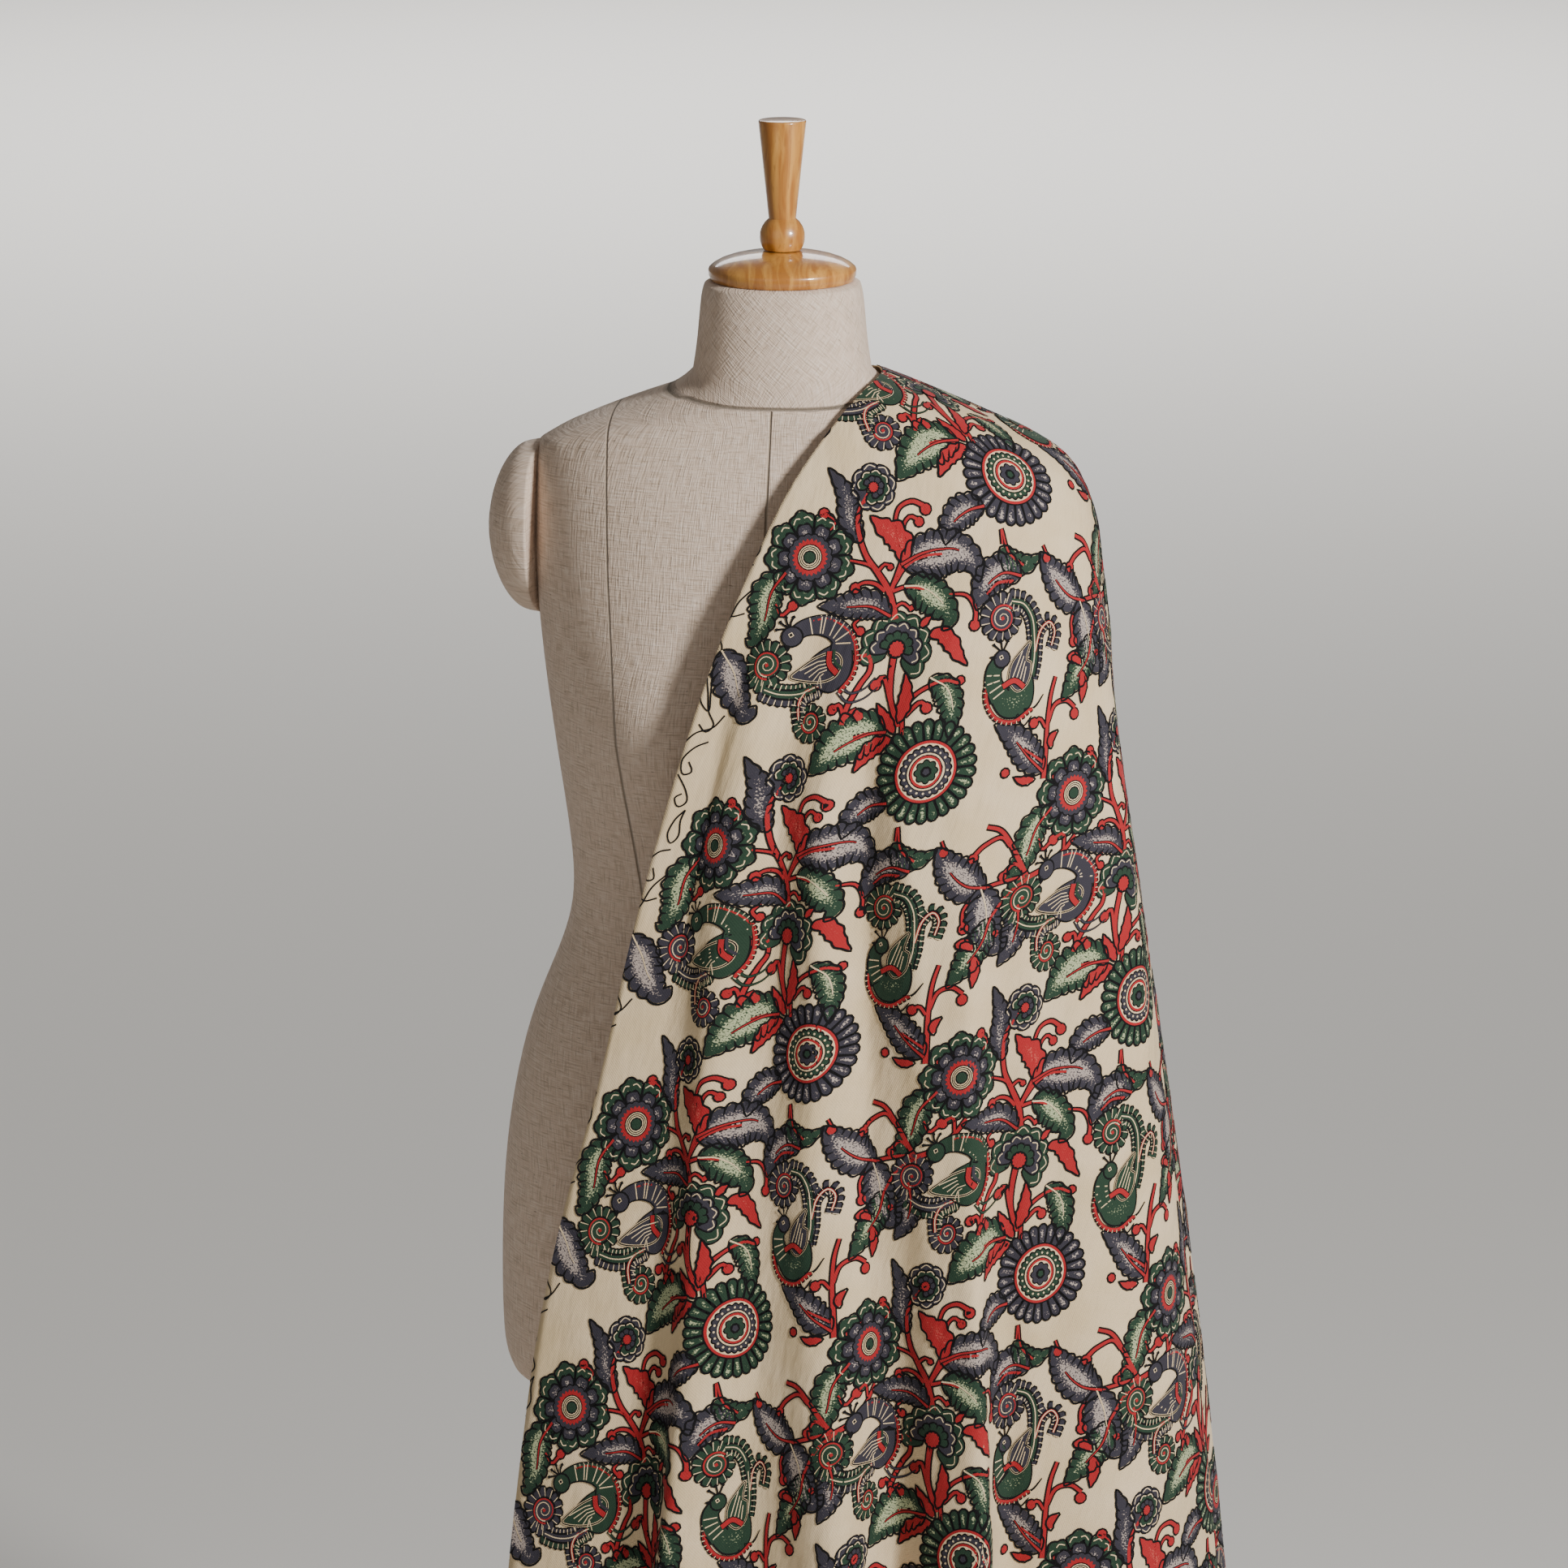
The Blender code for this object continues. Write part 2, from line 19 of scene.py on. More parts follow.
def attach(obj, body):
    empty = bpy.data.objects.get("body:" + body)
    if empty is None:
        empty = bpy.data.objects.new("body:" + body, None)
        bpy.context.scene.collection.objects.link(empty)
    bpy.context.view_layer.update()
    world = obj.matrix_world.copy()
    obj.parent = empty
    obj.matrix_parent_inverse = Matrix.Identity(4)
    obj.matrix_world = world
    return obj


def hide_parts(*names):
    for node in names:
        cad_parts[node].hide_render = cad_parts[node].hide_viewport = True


bl_info = {
    "name": "Kalamkari cloth on a dress form",
    "version": (1, 0, 0),
    "blender": (4, 5, 0),
    "location": "3D View > Sidebar > Kalamkari",
    "description": "Builds the printed cloth, the linen form and its turned wood",
    "category": "Object",
}

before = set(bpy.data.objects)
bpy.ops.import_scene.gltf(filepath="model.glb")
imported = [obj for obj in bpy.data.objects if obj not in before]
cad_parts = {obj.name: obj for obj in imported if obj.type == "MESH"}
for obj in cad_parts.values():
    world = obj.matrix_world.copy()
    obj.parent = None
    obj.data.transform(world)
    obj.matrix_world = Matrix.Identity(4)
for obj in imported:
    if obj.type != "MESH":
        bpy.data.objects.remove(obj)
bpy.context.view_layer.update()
BODY = "root"
MM = 0.001

# ---- the sheet's shape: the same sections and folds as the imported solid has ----

CLOTH_CENTRE = 0.105
CLOTH_ROUNDNESS = 2.3
RIDGE_FALL = 0.42
SHEET_ROW = namedtuple(
    "SHEET_ROW", "level follow tilt right front back edge_x edge_share back_edge_x back_share")
SHEET_ROWS = [SHEET_ROW(*row) for row in (
    (1.4130, 1.00, 0.00, 0.0530, 0.0002, 0.0002, 0.0675, 0.00, 0.0675, 0.00),
    (1.4125, 1.00, 0.00, 0.0670, 0.0180, 0.0170, 0.0665, 0.60, 0.0665, 0.60),
    (1.4100, 1.00, 0.00, 0.0800, 0.0380, 0.0330, 0.0630, 0.74, 0.0640, 0.80),
    (1.4040, 1.00, 0.00, 0.0915, 0.0570, 0.0490, 0.0565, 0.80, 0.0590, 0.88),
    (1.3920, 1.00, 0.00, 0.1010, 0.0740, 0.0650, 0.0460, 0.83, 0.0500, 0.92),
    (1.3690, 0.95, 0.00, 0.1085, 0.0910, 0.0840, 0.0290, 0.87, 0.0340, 0.94),
    (1.3310, 0.85, 0.00, 0.1135, 0.1050, 0.1020, 0.0050, 0.92, 0.0100, 0.96),
    (1.2850, 0.65, 0.00, 0.1180, 0.1180, 0.1140, -0.0190, 0.95, -0.0120, 0.96),
    (1.2250, 0.40, 0.00, 0.1220, 0.1340, 0.1220, -0.0460, 0.95, -0.0340, 0.95),
    (1.1500, 0.20, 0.00, 0.1310, 0.1460, 0.1270, -0.0720, 0.95, -0.0560, 0.94),
    (1.0600, 0.05, 0.01, 0.1440, 0.1520, 0.1320, -0.0970, 0.93, -0.0780, 0.92),
    (0.9600, 0.00, 0.03, 0.1590, 0.1590, 0.1400, -0.1190, 0.87, -0.1000, 0.90),
    (0.8600, 0.00, 0.07, 0.1740, 0.1680, 0.1520, -0.1430, 0.83, -0.1220, 0.88),
    (0.7600, 0.00, 0.12, 0.1880, 0.1780, 0.1640, -0.1610, 0.79, -0.1400, 0.86),
    (0.6600, 0.00, 0.17, 0.2000, 0.1880, 0.1750, -0.1730, 0.77, -0.1550, 0.84),
    (0.5600, 0.00, 0.21, 0.2100, 0.1970, 0.1850, -0.1830, 0.76, -0.1680, 0.82),
    (0.4600, 0.00, 0.24, 0.2190, 0.2050, 0.1940, -0.1920, 0.75, -0.1800, 0.80),
    (0.3600, 0.00, 0.26, 0.2270, 0.2120, 0.2020, -0.2000, 0.75, -0.1900, 0.80),
)]
FOLD = namedtuple("FOLD", "name direction width out lean start full")
FOLDS = [FOLD(*row) for row in (
    ("left hollow", -139.0, 4.0, -0.010, 0.000, 1.12, 0.60),
    ("left crest", -130.0, 4.5, 0.020, -0.008, 1.12, 0.60),
    ("middle crest", -109.5, 4.5, 0.022, 0.012, 1.02, 0.55),
    ("middle hollow", -98.0, 5.0, -0.018, 0.000, 1.02, 0.55),
    ("centre crest", -85.0, 4.0, 0.022, 0.012, 1.20, 0.60),
    ("centre hollow", -75.0, 4.5, -0.014, 0.000, 1.20, 0.60),
    ("soft crest", -54.0, 8.0, 0.012, 0.000, 1.00, 0.50),
    ("side crest", -25.0, 6.0, 0.006, 0.004, 1.10, 0.55),
    ("side hollow", -9.0, 5.0, -0.026, 0.000, 1.10, 0.55),
    ("rear side crest", 7.0, 6.0, 0.008, 0.000, 1.12, 0.60),
    ("deep hollow", 26.0, 6.0, -0.040, 0.000, 1.15, 0.60),
    ("back right crest", 45.0, 7.0, 0.022, 0.000, 1.12, 0.55),
    ("back right hollow", 63.0, 6.0, -0.020, 0.000, 1.05, 0.55),
    ("back middle crest", 82.0, 7.0, 0.022, 0.006, 1.10, 0.55),
    ("back middle hollow", 100.0, 6.0, -0.018, 0.000, 1.05, 0.55),
    ("back left crest", 119.0, 7.0, 0.020, 0.000, 1.08, 0.55),
    ("back left hollow", 136.0, 5.0, -0.010, 0.000, 1.00, 0.55),
)]
FOLD_ONSET = 1.3
FOLD_SPREAD = 0.35
# Columns run from the front selvedge round the side to the back one. These are the columns at
# which the direction, seen from above in degrees, is fixed, with the selvedges at both ends.
COLUMN_STOPS = (0.0, 3.0, 37.0, 61.0, 63.0)
FIXED_DIRECTIONS = (-143.0, -12.0, 142.0)
COLUMNS = COLUMN_STOPS[-1]
SELVEDGE_ZONE = 6.0
FAN_START = 3.0
FAN_END = 9.0
# The cloth hidden at the bottom of the deep hollow behind the side, where the flat sheet is cut
CUT_COLUMN = 43.0
RIDGE_MERGE = 0.0006
FLAT_COLUMNS = 126
FLAT_LINES = 100
UNWRAP_STEPS = 40


def smooth_between(before, start, end, after, share):
    """Return the place at a share of the way from start to end, on a smooth curve."""
    slope_start = (end - before) / 2.0
    slope_end = (after - start) / 2.0
    cubic = 2.0 * start - 2.0 * end + slope_start + slope_end
    square = 3.0 * end - 3.0 * start - 2.0 * slope_start - slope_end
    return ((cubic * share + square) * share + slope_start) * share + start


def table_row(rows, place):
    """Return the table's columns at a place between its rows, on a smooth curve."""
    index = min(int(place), len(rows) - 2)
    last = len(rows) - 1
    four = [np.array(rows[min(max(index + step, 0), last)]) for step in (-1, 0, 1, 2)]
    return type(rows[0])(*smooth_between(*four, place - index))


def signed_power(value, power):
    """Raise sizes to a power and keep their signs."""
    return np.copysign(np.abs(value) ** power, value)


def oval_reach(edge_x, share):
    """Return the reach towards the neck that makes the oval pass through the selvedge."""
    return (CLOTH_CENTRE - edge_x) / (1.0 - share ** CLOTH_ROUNDNESS) ** (1.0 / CLOTH_ROUNDNESS)


def oval_angle(direction, right, left, front, back):
    """Return the oval's own angles for points that lie in given directions, in degrees."""
    turn = np.radians(direction)
    across = np.abs(np.cos(turn)) / np.where(np.cos(turn) > 0.0, right, left)
    along = np.abs(np.sin(turn)) / np.where(np.sin(turn) > 0.0, back, front)
    half = CLOTH_ROUNDNESS / 2.0
    lift = np.degrees(np.arctan2(along ** half, across ** half))
    lift = np.where(np.cos(turn) > 0.0, lift, 180.0 - lift)
    return np.copysign(lift, direction)


def sheet_line(place, columns):
    """Return the points of one line of the sheet, one for each column."""
    row = table_row(SHEET_ROWS, place)
    front = max(row.front, 0.0)
    back = max(row.back, 0.0)
    front_share = max(row.edge_share, 0.0)
    back_share = max(row.back_share, 0.0)
    front_left = oval_reach(row.edge_x, front_share)
    back_left = oval_reach(row.back_edge_x, back_share)
    front_edge = math.degrees(math.atan2(-front_share * front, row.edge_x - CLOTH_CENTRE))
    back_edge = math.degrees(math.atan2(back_share * back, row.back_edge_x - CLOTH_CENTRE))
    left_end, side, back_end = FIXED_DIRECTIONS
    stops = (front_edge, max(left_end, front_edge + SELVEDGE_ZONE), side,
             min(back_end, back_edge - SELVEDGE_ZONE), back_edge)
    direction = np.interp(columns, COLUMN_STOPS, stops)
    lefts = np.where(direction < 0.0, front_left, back_left)
    fanned = oval_angle(direction, row.right, lefts, front, back)
    start = float(oval_angle(front_edge, row.right, front_left, front, back))
    end = float(oval_angle(back_edge, row.right, back_left, front, back))
    even = start + (end - start) * columns / COLUMNS
    fan = min(max((place - FAN_START) / (FAN_END - FAN_START), 0.0), 1.0)
    angle = np.radians(even + (fanned - even) * fan * fan * (3.0 - 2.0 * fan))
    across = np.cos(angle)
    along = np.sin(angle)
    power = 2.0 / CLOTH_ROUNDNESS
    lefts = np.where(angle < 0.0, front_left, back_left)
    x = signed_power(across, power) * np.where(across > 0.0, row.right, lefts)
    y = signed_power(along, power) * np.where(along > 0.0, back, front)
    z = row.level - (row.follow * RIDGE_FALL + row.tilt) * x
    seen = np.degrees(np.arctan2(y, x))
    size = np.hypot(x, y)
    outward = np.stack([x / size, y / size], axis=1)
    sideways = np.stack([-outward[:, 1], outward[:, 0]], axis=1)
    point = np.stack([CLOTH_CENTRE + x, y], axis=1)
    for fold in FOLDS:
        share = (fold.start - row.level) / (fold.start - fold.full)
        growth = max(share, 0.0) ** FOLD_ONSET
        if share > 1.0:
            growth = 1.0 + FOLD_SPREAD * (share - 1.0)
        amount = growth * np.exp(-((seen - fold.direction) / fold.width) ** 2)
        point += (outward * fold.out + sideways * fold.lean) * amount[:, None]
    return np.column_stack([point, z])


def sheet_points(columns, lines):
    """Return the sheet as an array of lines and columns of points."""
    spread = np.linspace(0.0, COLUMNS, columns + 1)
    last = len(SHEET_ROWS) - 1
    return np.stack([sheet_line(last * line / lines, spread) for line in range(lines + 1)])


def sheet_normals(points):
    """Return the outward normal at each point of the sheet's array."""
    across = np.gradient(points, axis=1)
    down = np.gradient(points, axis=0)
    normals = np.cross(down, across)
    return normals / np.maximum(np.linalg.norm(normals, axis=2, keepdims=True), 1e-12)


CREASE = namedtuple("CREASE", "name top middle low height")
# The main creases of the hanging front, finer than the solid's folds, in order from the front
# selvedge: each one's place as a share of the columns at three lines, and how far it stands out
CREASES = [CREASE(*row) for row in (
    ("selvedge", 0.000, 0.000, 0.000, 0.006),
    ("left trough", 0.022, 0.050, 0.052, 0.000),
    ("left crest", 0.052, 0.079, 0.095, 0.018),
    ("left inner trough", 0.072, 0.107, 0.119, 0.000),
    ("middle crest", 0.111, 0.155, 0.167, 0.020),
    ("middle trough", 0.139, 0.190, 0.202, 0.000),
    ("centre crest", 0.171, 0.250, 0.266, 0.020),
    ("side trough", 0.385, 0.377, 0.350, 0.000),
    ("side crest", 0.500, 0.484, 0.468, 0.013),
    ("side end", 0.570, 0.570, 0.570, 0.000),
    ("back selvedge", 1.000, 1.000, 1.000, 0.000),
)]
CREASE_LINES = (0.45, 0.64, 0.83)
CREASE_START = 0.36
CREASE_FULL = 0.60
SOFTENING = (1.0, 2.0, 3.0, 3.0, 2.0, 1.0)


def creased_sheet(columns, lines):
    """Return the sheet's points with its main creases raised away from its middle."""
    points = sheet_points(columns, lines)
    shares = np.linspace(0.0, 1.0, columns + 1)
    heights = [row.height for row in CREASES]
    kernel = np.array(SOFTENING) / sum(SOFTENING)
    rise = np.zeros((lines + 1, columns + 1))
    for line in range(lines + 1):
        down = line / lines
        growth = min(max((down - CREASE_START) / (CREASE_FULL - CREASE_START), 0.0), 1.0)
        places = [np.interp(down, CREASE_LINES, (row.top, row.middle, row.low))
                  for row in CREASES]
        heap = np.pad(np.interp(shares, places, heights), len(kernel) // 2, mode="edge")
        soft = np.convolve(heap, kernel, mode="valid")[:columns + 1]
        rise[line] = soft * growth * growth * (3.0 - 2.0 * growth)
    outward = points - (CLOTH_CENTRE, 0.0, 0.0)
    outward[:, :, 2] = 0.0
    outward /= np.maximum(np.linalg.norm(outward, axis=2, keepdims=True), 1e-9)
    return points + outward * rise[:, :, None]


def at_places(array, columns, lines):
    """Return an array's values at fractional columns and lines, from 0 to 1 each."""
    rows = np.clip(lines, 0.0, 1.0) * (array.shape[0] - 1)
    cols = np.clip(columns, 0.0, 1.0) * (array.shape[1] - 1)
    row = np.minimum(rows.astype(int), array.shape[0] - 2)
    col = np.minimum(cols.astype(int), array.shape[1] - 2)
    down = (rows - row)[:, None]
    right = (cols - col)[:, None]
    upper = array[row, col] * (1.0 - right) + array[row, col + 1] * right
    lower = array[row + 1, col] * (1.0 - right) + array[row + 1, col + 1] * right
    return upper * (1.0 - down) + lower * down


def flatten_sheet():
    """Unfold the sheet with the least stretch, cut open down the deep hollow.

    Returns the flat places, in metres, of the grid in front of the cut and behind it."""
    points = sheet_points(FLAT_COLUMNS, FLAT_LINES)
    sheet = bmesh.new()
    bmesh.ops.create_grid(sheet, x_segments=FLAT_COLUMNS, y_segments=FLAT_LINES, size=0.5)
    number = sheet.verts.layers.int.new("number")
    width = FLAT_COLUMNS + 1
    for vert in sheet.verts:
        column = round((vert.co.x + 0.5) * FLAT_COLUMNS)
        line = round((vert.co.y + 0.5) * FLAT_LINES)
        vert[number] = line * width + column
        vert.co = points[line, column]
    cut = round(CUT_COLUMN / COLUMNS * FLAT_COLUMNS)
    behind = sheet.faces.layers.int.new("behind")
    for face in sheet.faces:
        face[behind] = min(vert[number] % width for vert in face.verts) >= cut
    for edge in sheet.edges:
        edge.seam = all(vert[number] % width == cut for vert in edge.verts)
    kept = {vert[number]: vert[number] for vert in sheet.verts}
    ridge = [vert for vert in sheet.verts if vert[number] < width]
    doubles = bmesh.ops.find_doubles(sheet, verts=ridge, dist=RIDGE_MERGE)["targetmap"]
    for vert, target in doubles.items():
        kept[vert[number]] = target[number]
    bmesh.ops.weld_verts(sheet, targetmap=doubles)
    mesh = bpy.data.meshes.new("flat_sheet")
    sheet.to_mesh(mesh)
    sheet.free()
    mesh.uv_layers.new(name="flat")
    holder = bpy.data.objects.new("flat_sheet", mesh)
    bpy.context.collection.objects.link(holder)
    bpy.ops.object.select_all(action="DESELECT")
    bpy.context.view_layer.objects.active = holder
    holder.select_set(True)
    bpy.ops.object.mode_set(mode="EDIT")
    bpy.ops.mesh.select_all(action="SELECT")
    bpy.ops.uv.unwrap(method="MINIMUM_STRETCH", margin=0.0, iterations=UNWRAP_STEPS)
    bpy.ops.object.mode_set(mode="OBJECT")
    places = {False: {}, True: {}}
    numbers = mesh.attributes["number"].data
    sides = mesh.attributes["behind"].data
    flat = mesh.uv_layers["flat"].uv
    real = 0.0
    drawn = 0.0
    for face in mesh.polygons:
        side = places[bool(sides[face.index].value)]
        corners = []
        for loop in face.loop_indices:
            place = flat[loop].vector
            corners.append(place)
            side[numbers[mesh.loops[loop].vertex_index].value] = place[:]
        real += face.area
        turns = zip(corners, corners[1:] + corners[:1])
        drawn += sum(a.x * b.y - a.y * b.x for a, b in turns) / 2.0
    scale = math.sqrt(real / abs(drawn))
    grids = []
    for side, first, last in ((False, 0, cut), (True, cut, FLAT_COLUMNS)):
        grid = np.zeros((FLAT_LINES + 1, last - first + 1, 2))
        for line in range(FLAT_LINES + 1):
            for column in range(first, last + 1):
                grid[line, column - first] = places[side][kept[line * width + column]]
        grids.append(grid * scale)
    bpy.data.objects.remove(holder)
    bpy.data.meshes.remove(mesh)
    return grids


# ---- materials ----

def hex_colour(code):
    """Turn an sRGB hex colour into a linear one."""
    channels = [int(code[i:i + 2], 16) / 255.0 for i in (1, 3, 5)]
    linear = [c / 12.92 if c <= 0.04045 else ((c + 0.055) / 1.055) ** 2.4 for c in channels]
    return (*linear, 1.0)


def add_node(tree, kind, inputs, out=0, **settings):
    """Add one node with its settings, its values and its links, and return its output."""
    node = tree.nodes.new(kind)
    for name, value in settings.items():
        setattr(node, name, value)
    for socket, value in inputs.items():
        if isinstance(value, bpy.types.NodeSocket):
            tree.links.new(value, node.inputs[socket])
        else:
            node.inputs[socket].default_value = value
    return node.outputs[out]


def new_material(name, values):
    """Return a material's node tree and its shader, with its constants on the shader."""
    material = bpy.data.materials.new(name)
    material.use_nodes = True
    shader = material.node_tree.nodes["Principled BSDF"]
    for socket, value in values.items():
        shader.inputs[socket].default_value = value
    return material, material.node_tree, shader


# Sockets of the colour mix node
SHARE, FIRST, SECOND, MIXED = 0, 6, 7, 2
WEAVE_PITCH = 0.0009


def cloth_relief(tree, shader, flat):
    """Raise a cotton's threads and its small slanting creases. Threads are 0.4 mm apart in
    the real cloth and drawn 0.9 mm apart, so that they show."""
    waves = add_node(tree, "ShaderNodeVectorMath",
                     {0: flat, 3: math.pi / WEAVE_PITCH}, operation="SCALE")
    waves = add_node(tree, "ShaderNodeVectorMath", {0: waves}, operation="SINE")
    across = add_node(tree, "ShaderNodeSeparateXYZ", {0: waves}, "X")
    weave = add_node(tree, "ShaderNodeMath", {0: across, 1: across.node.outputs["Y"]},
                     operation="MULTIPLY")
    slant = add_node(tree, "ShaderNodeMapping",
                     {"Vector": flat, "Scale": (95.0, 28.0, 1.0),
                      "Rotation": (0.0, 0.0, math.radians(38.0))})
    creases = add_node(tree, "ShaderNodeTexNoise", {"Vector": slant, "Scale": 1.0,
                                                    "Detail": 3.0})
    creases = add_node(tree, "ShaderNodeMath", {0: creases, 1: 1.6}, operation="MULTIPLY")
    height = add_node(tree, "ShaderNodeMath", {0: weave, 1: 0.06, 2: creases},
                      operation="MULTIPLY_ADD")
    normal = add_node(tree, "ShaderNodeBump", {"Height": height, "Distance": 0.001})
    tree.links.new(normal, shader.inputs["Normal"])


def cotton_ground(colours):
    """Plain-woven cotton, softened by washing: it gives a matt cream ground, faintly blotched,
    with a fine thread and small slanting creases."""
    material, tree, shader = new_material("washed_cotton", {
        "Roughness": 0.88, "IOR": 1.5, "Sheen Weight": 0.12, "Sheen Roughness": 0.5})
    flat = add_node(tree, "ShaderNodeUVMap", {}, uv_map="flat")
    cloud = add_node(tree, "ShaderNodeTexNoise", {"Vector": flat, "Scale": 22.0, "Detail": 4.0})
    blotch = add_node(tree, "ShaderNodeMapRange",
                      {"Value": cloud, "From Min": 0.35, "From Max": 0.65})
    drawn = add_node(tree, "ShaderNodeMapping", {"Vector": flat, "Scale": (900.0, 60.0, 1.0)})
    thread = add_node(tree, "ShaderNodeTexNoise", {"Vector": drawn, "Scale": 1.0})
    slub = add_node(tree, "ShaderNodeMapRange",
                    {"Value": thread, "From Min": 0.5, "From Max": 0.8, "To Max": 0.4})
    ground = add_node(tree, "ShaderNodeMix",
                      {SHARE: blotch, FIRST: colours.ground_shade, SECOND: colours.ground},
                      MIXED, data_type="RGBA")
    ground = add_node(tree, "ShaderNodeMix",
                      {SHARE: slub, FIRST: ground, SECOND: colours.ground_thread},
                      MIXED, data_type="RGBA")
    tree.links.new(ground, shader.inputs["Base Color"])
    cloth_relief(tree, shader, flat)
    return material


def black_dye(colours):
    """Iron black printed on cotton by block: it gives dense matt outlines."""
    material, tree, shader = new_material("iron_black_dye", {
        "Base Color": colours.black, "Roughness": 0.9, "IOR": 1.5,
        "Specular IOR Level": 0.25})
    cloth_relief(tree, shader, add_node(tree, "ShaderNodeUVMap", {}, uv_map="flat"))
    return material


def printed_dye(name, colour, pale):
    """Vegetable dye printed on cotton by block: it gives a flat matt colour with a soft
    stipple of the ground at the heart of each shape. Stipple grains are 1.2 mm."""
    material, tree, shader = new_material(name, {
        "Roughness": 0.86, "IOR": 1.5, "Sheen Weight": 0.05, "Sheen Roughness": 0.5})
    flat = add_node(tree, "ShaderNodeUVMap", {}, uv_map="flat")
    heart = add_node(tree, "ShaderNodeAttribute", {}, "Fac", attribute_name="heart")
    grain = add_node(tree, "ShaderNodeTexNoise", {"Vector": flat, "Scale": 820.0,
                                                  "Detail": 1.0})
    depth = add_node(tree, "ShaderNodeMapRange",
                     {"Value": heart, "From Min": 1.0, "From Max": 8.0, "To Min": -0.34,
                      "To Max": 0.10})
    total = add_node(tree, "ShaderNodeMath", {0: grain, 1: depth}, operation="ADD")
    stipple = add_node(tree, "ShaderNodeMapRange",
                       {"Value": total, "From Min": 0.44, "From Max": 0.60})
    dyed = add_node(tree, "ShaderNodeMix", {SHARE: stipple, FIRST: colour, SECOND: pale},
                    MIXED, data_type="RGBA")
    tree.links.new(dyed, shader.inputs["Base Color"])
    cloth_relief(tree, shader, flat)
    return material


THREAD_LONG = 75.0
THREAD_FINE = 850.0


def covering_linen(colours):
    """Unbleached linen stretched over padding: it gives a warm grey-beige ground with thick
    pale and dark slubs both ways, small dark flecks and pressed seams. Threads are 0.6 mm
    apart and drawn 1.2 mm apart, so that they show."""
    material, tree, shader = new_material("stretched_linen", {
        "Roughness": 0.9, "IOR": 1.5, "Sheen Weight": 0.1, "Sheen Roughness": 0.5})
    flat = add_node(tree, "ShaderNodeUVMap", {}, uv_map="flat")
    threads = []
    for scale in ((THREAD_LONG, THREAD_FINE, 1.0), (THREAD_FINE, THREAD_LONG, 1.0)):
        drawn = add_node(tree, "ShaderNodeMapping", {"Vector": flat, "Scale": scale})
        threads.append(add_node(tree, "ShaderNodeTexNoise",
                                {"Vector": drawn, "Scale": 1.0, "Detail": 2.0}))
    thickest = add_node(tree, "ShaderNodeMath", {0: threads[0], 1: threads[1]},
                        operation="MAXIMUM")
    thinnest = add_node(tree, "ShaderNodeMath", {0: threads[0], 1: threads[1]},
                        operation="MINIMUM")
    pale = add_node(tree, "ShaderNodeMapRange",
                    {"Value": thickest, "From Min": 0.52, "From Max": 0.72, "To Max": 0.7})
    dark = add_node(tree, "ShaderNodeMapRange",
                    {"Value": thinnest, "From Min": 0.46, "From Max": 0.26, "To Max": 0.75})
    drawn = add_node(tree, "ShaderNodeMapping", {"Vector": flat, "Scale": (220.0, 700.0, 1.0)})
    specks = add_node(tree, "ShaderNodeTexNoise", {"Vector": drawn, "Scale": 1.0,
                                                   "Detail": 1.0})
    fleck = add_node(tree, "ShaderNodeMapRange",
                     {"Value": specks, "From Min": 0.71, "From Max": 0.78, "To Max": 0.6})
    seams = add_node(tree, "ShaderNodeAttribute", {}, "Vector", attribute_name="seams")
    seams = add_node(tree, "ShaderNodeVectorMath", {0: seams}, operation="ABSOLUTE")
    middle = add_node(tree, "ShaderNodeSeparateXYZ", {0: seams}, "X")
    nearest = add_node(tree, "ShaderNodeMath", {0: middle, 1: middle.node.outputs["Y"]},
                       operation="MINIMUM")
    nearest = add_node(tree, "ShaderNodeMath", {0: nearest, 1: middle.node.outputs["Z"]},
                       operation="MINIMUM")
    groove = add_node(tree, "ShaderNodeMapRange",
                      {"Value": nearest, "From Min": 0.2, "From Max": SEAM_WIDTH,
                       "To Min": 1.0, "To Max": 0.0})
    body = colours.linen
    for share, colour in ((pale, colours.linen_pale), (dark, colours.linen_dark),
                          (fleck, colours.linen_fleck), (groove, colours.linen_seam)):
        body = add_node(tree, "ShaderNodeMix", {SHARE: share, FIRST: body, SECOND: colour},
                        MIXED, data_type="RGBA")
    tree.links.new(body, shader.inputs["Base Color"])
    height = add_node(tree, "ShaderNodeMath", {0: threads[0], 1: threads[1]}, operation="ADD")
    height = add_node(tree, "ShaderNodeMath", {0: groove, 1: -2.0, 2: height},
                      operation="MULTIPLY_ADD")
    normal = add_node(tree, "ShaderNodeBump", {"Height": height, "Distance": 0.0008,
                                               "Strength": 0.9})
    tree.links.new(normal, shader.inputs["Normal"])
    return material


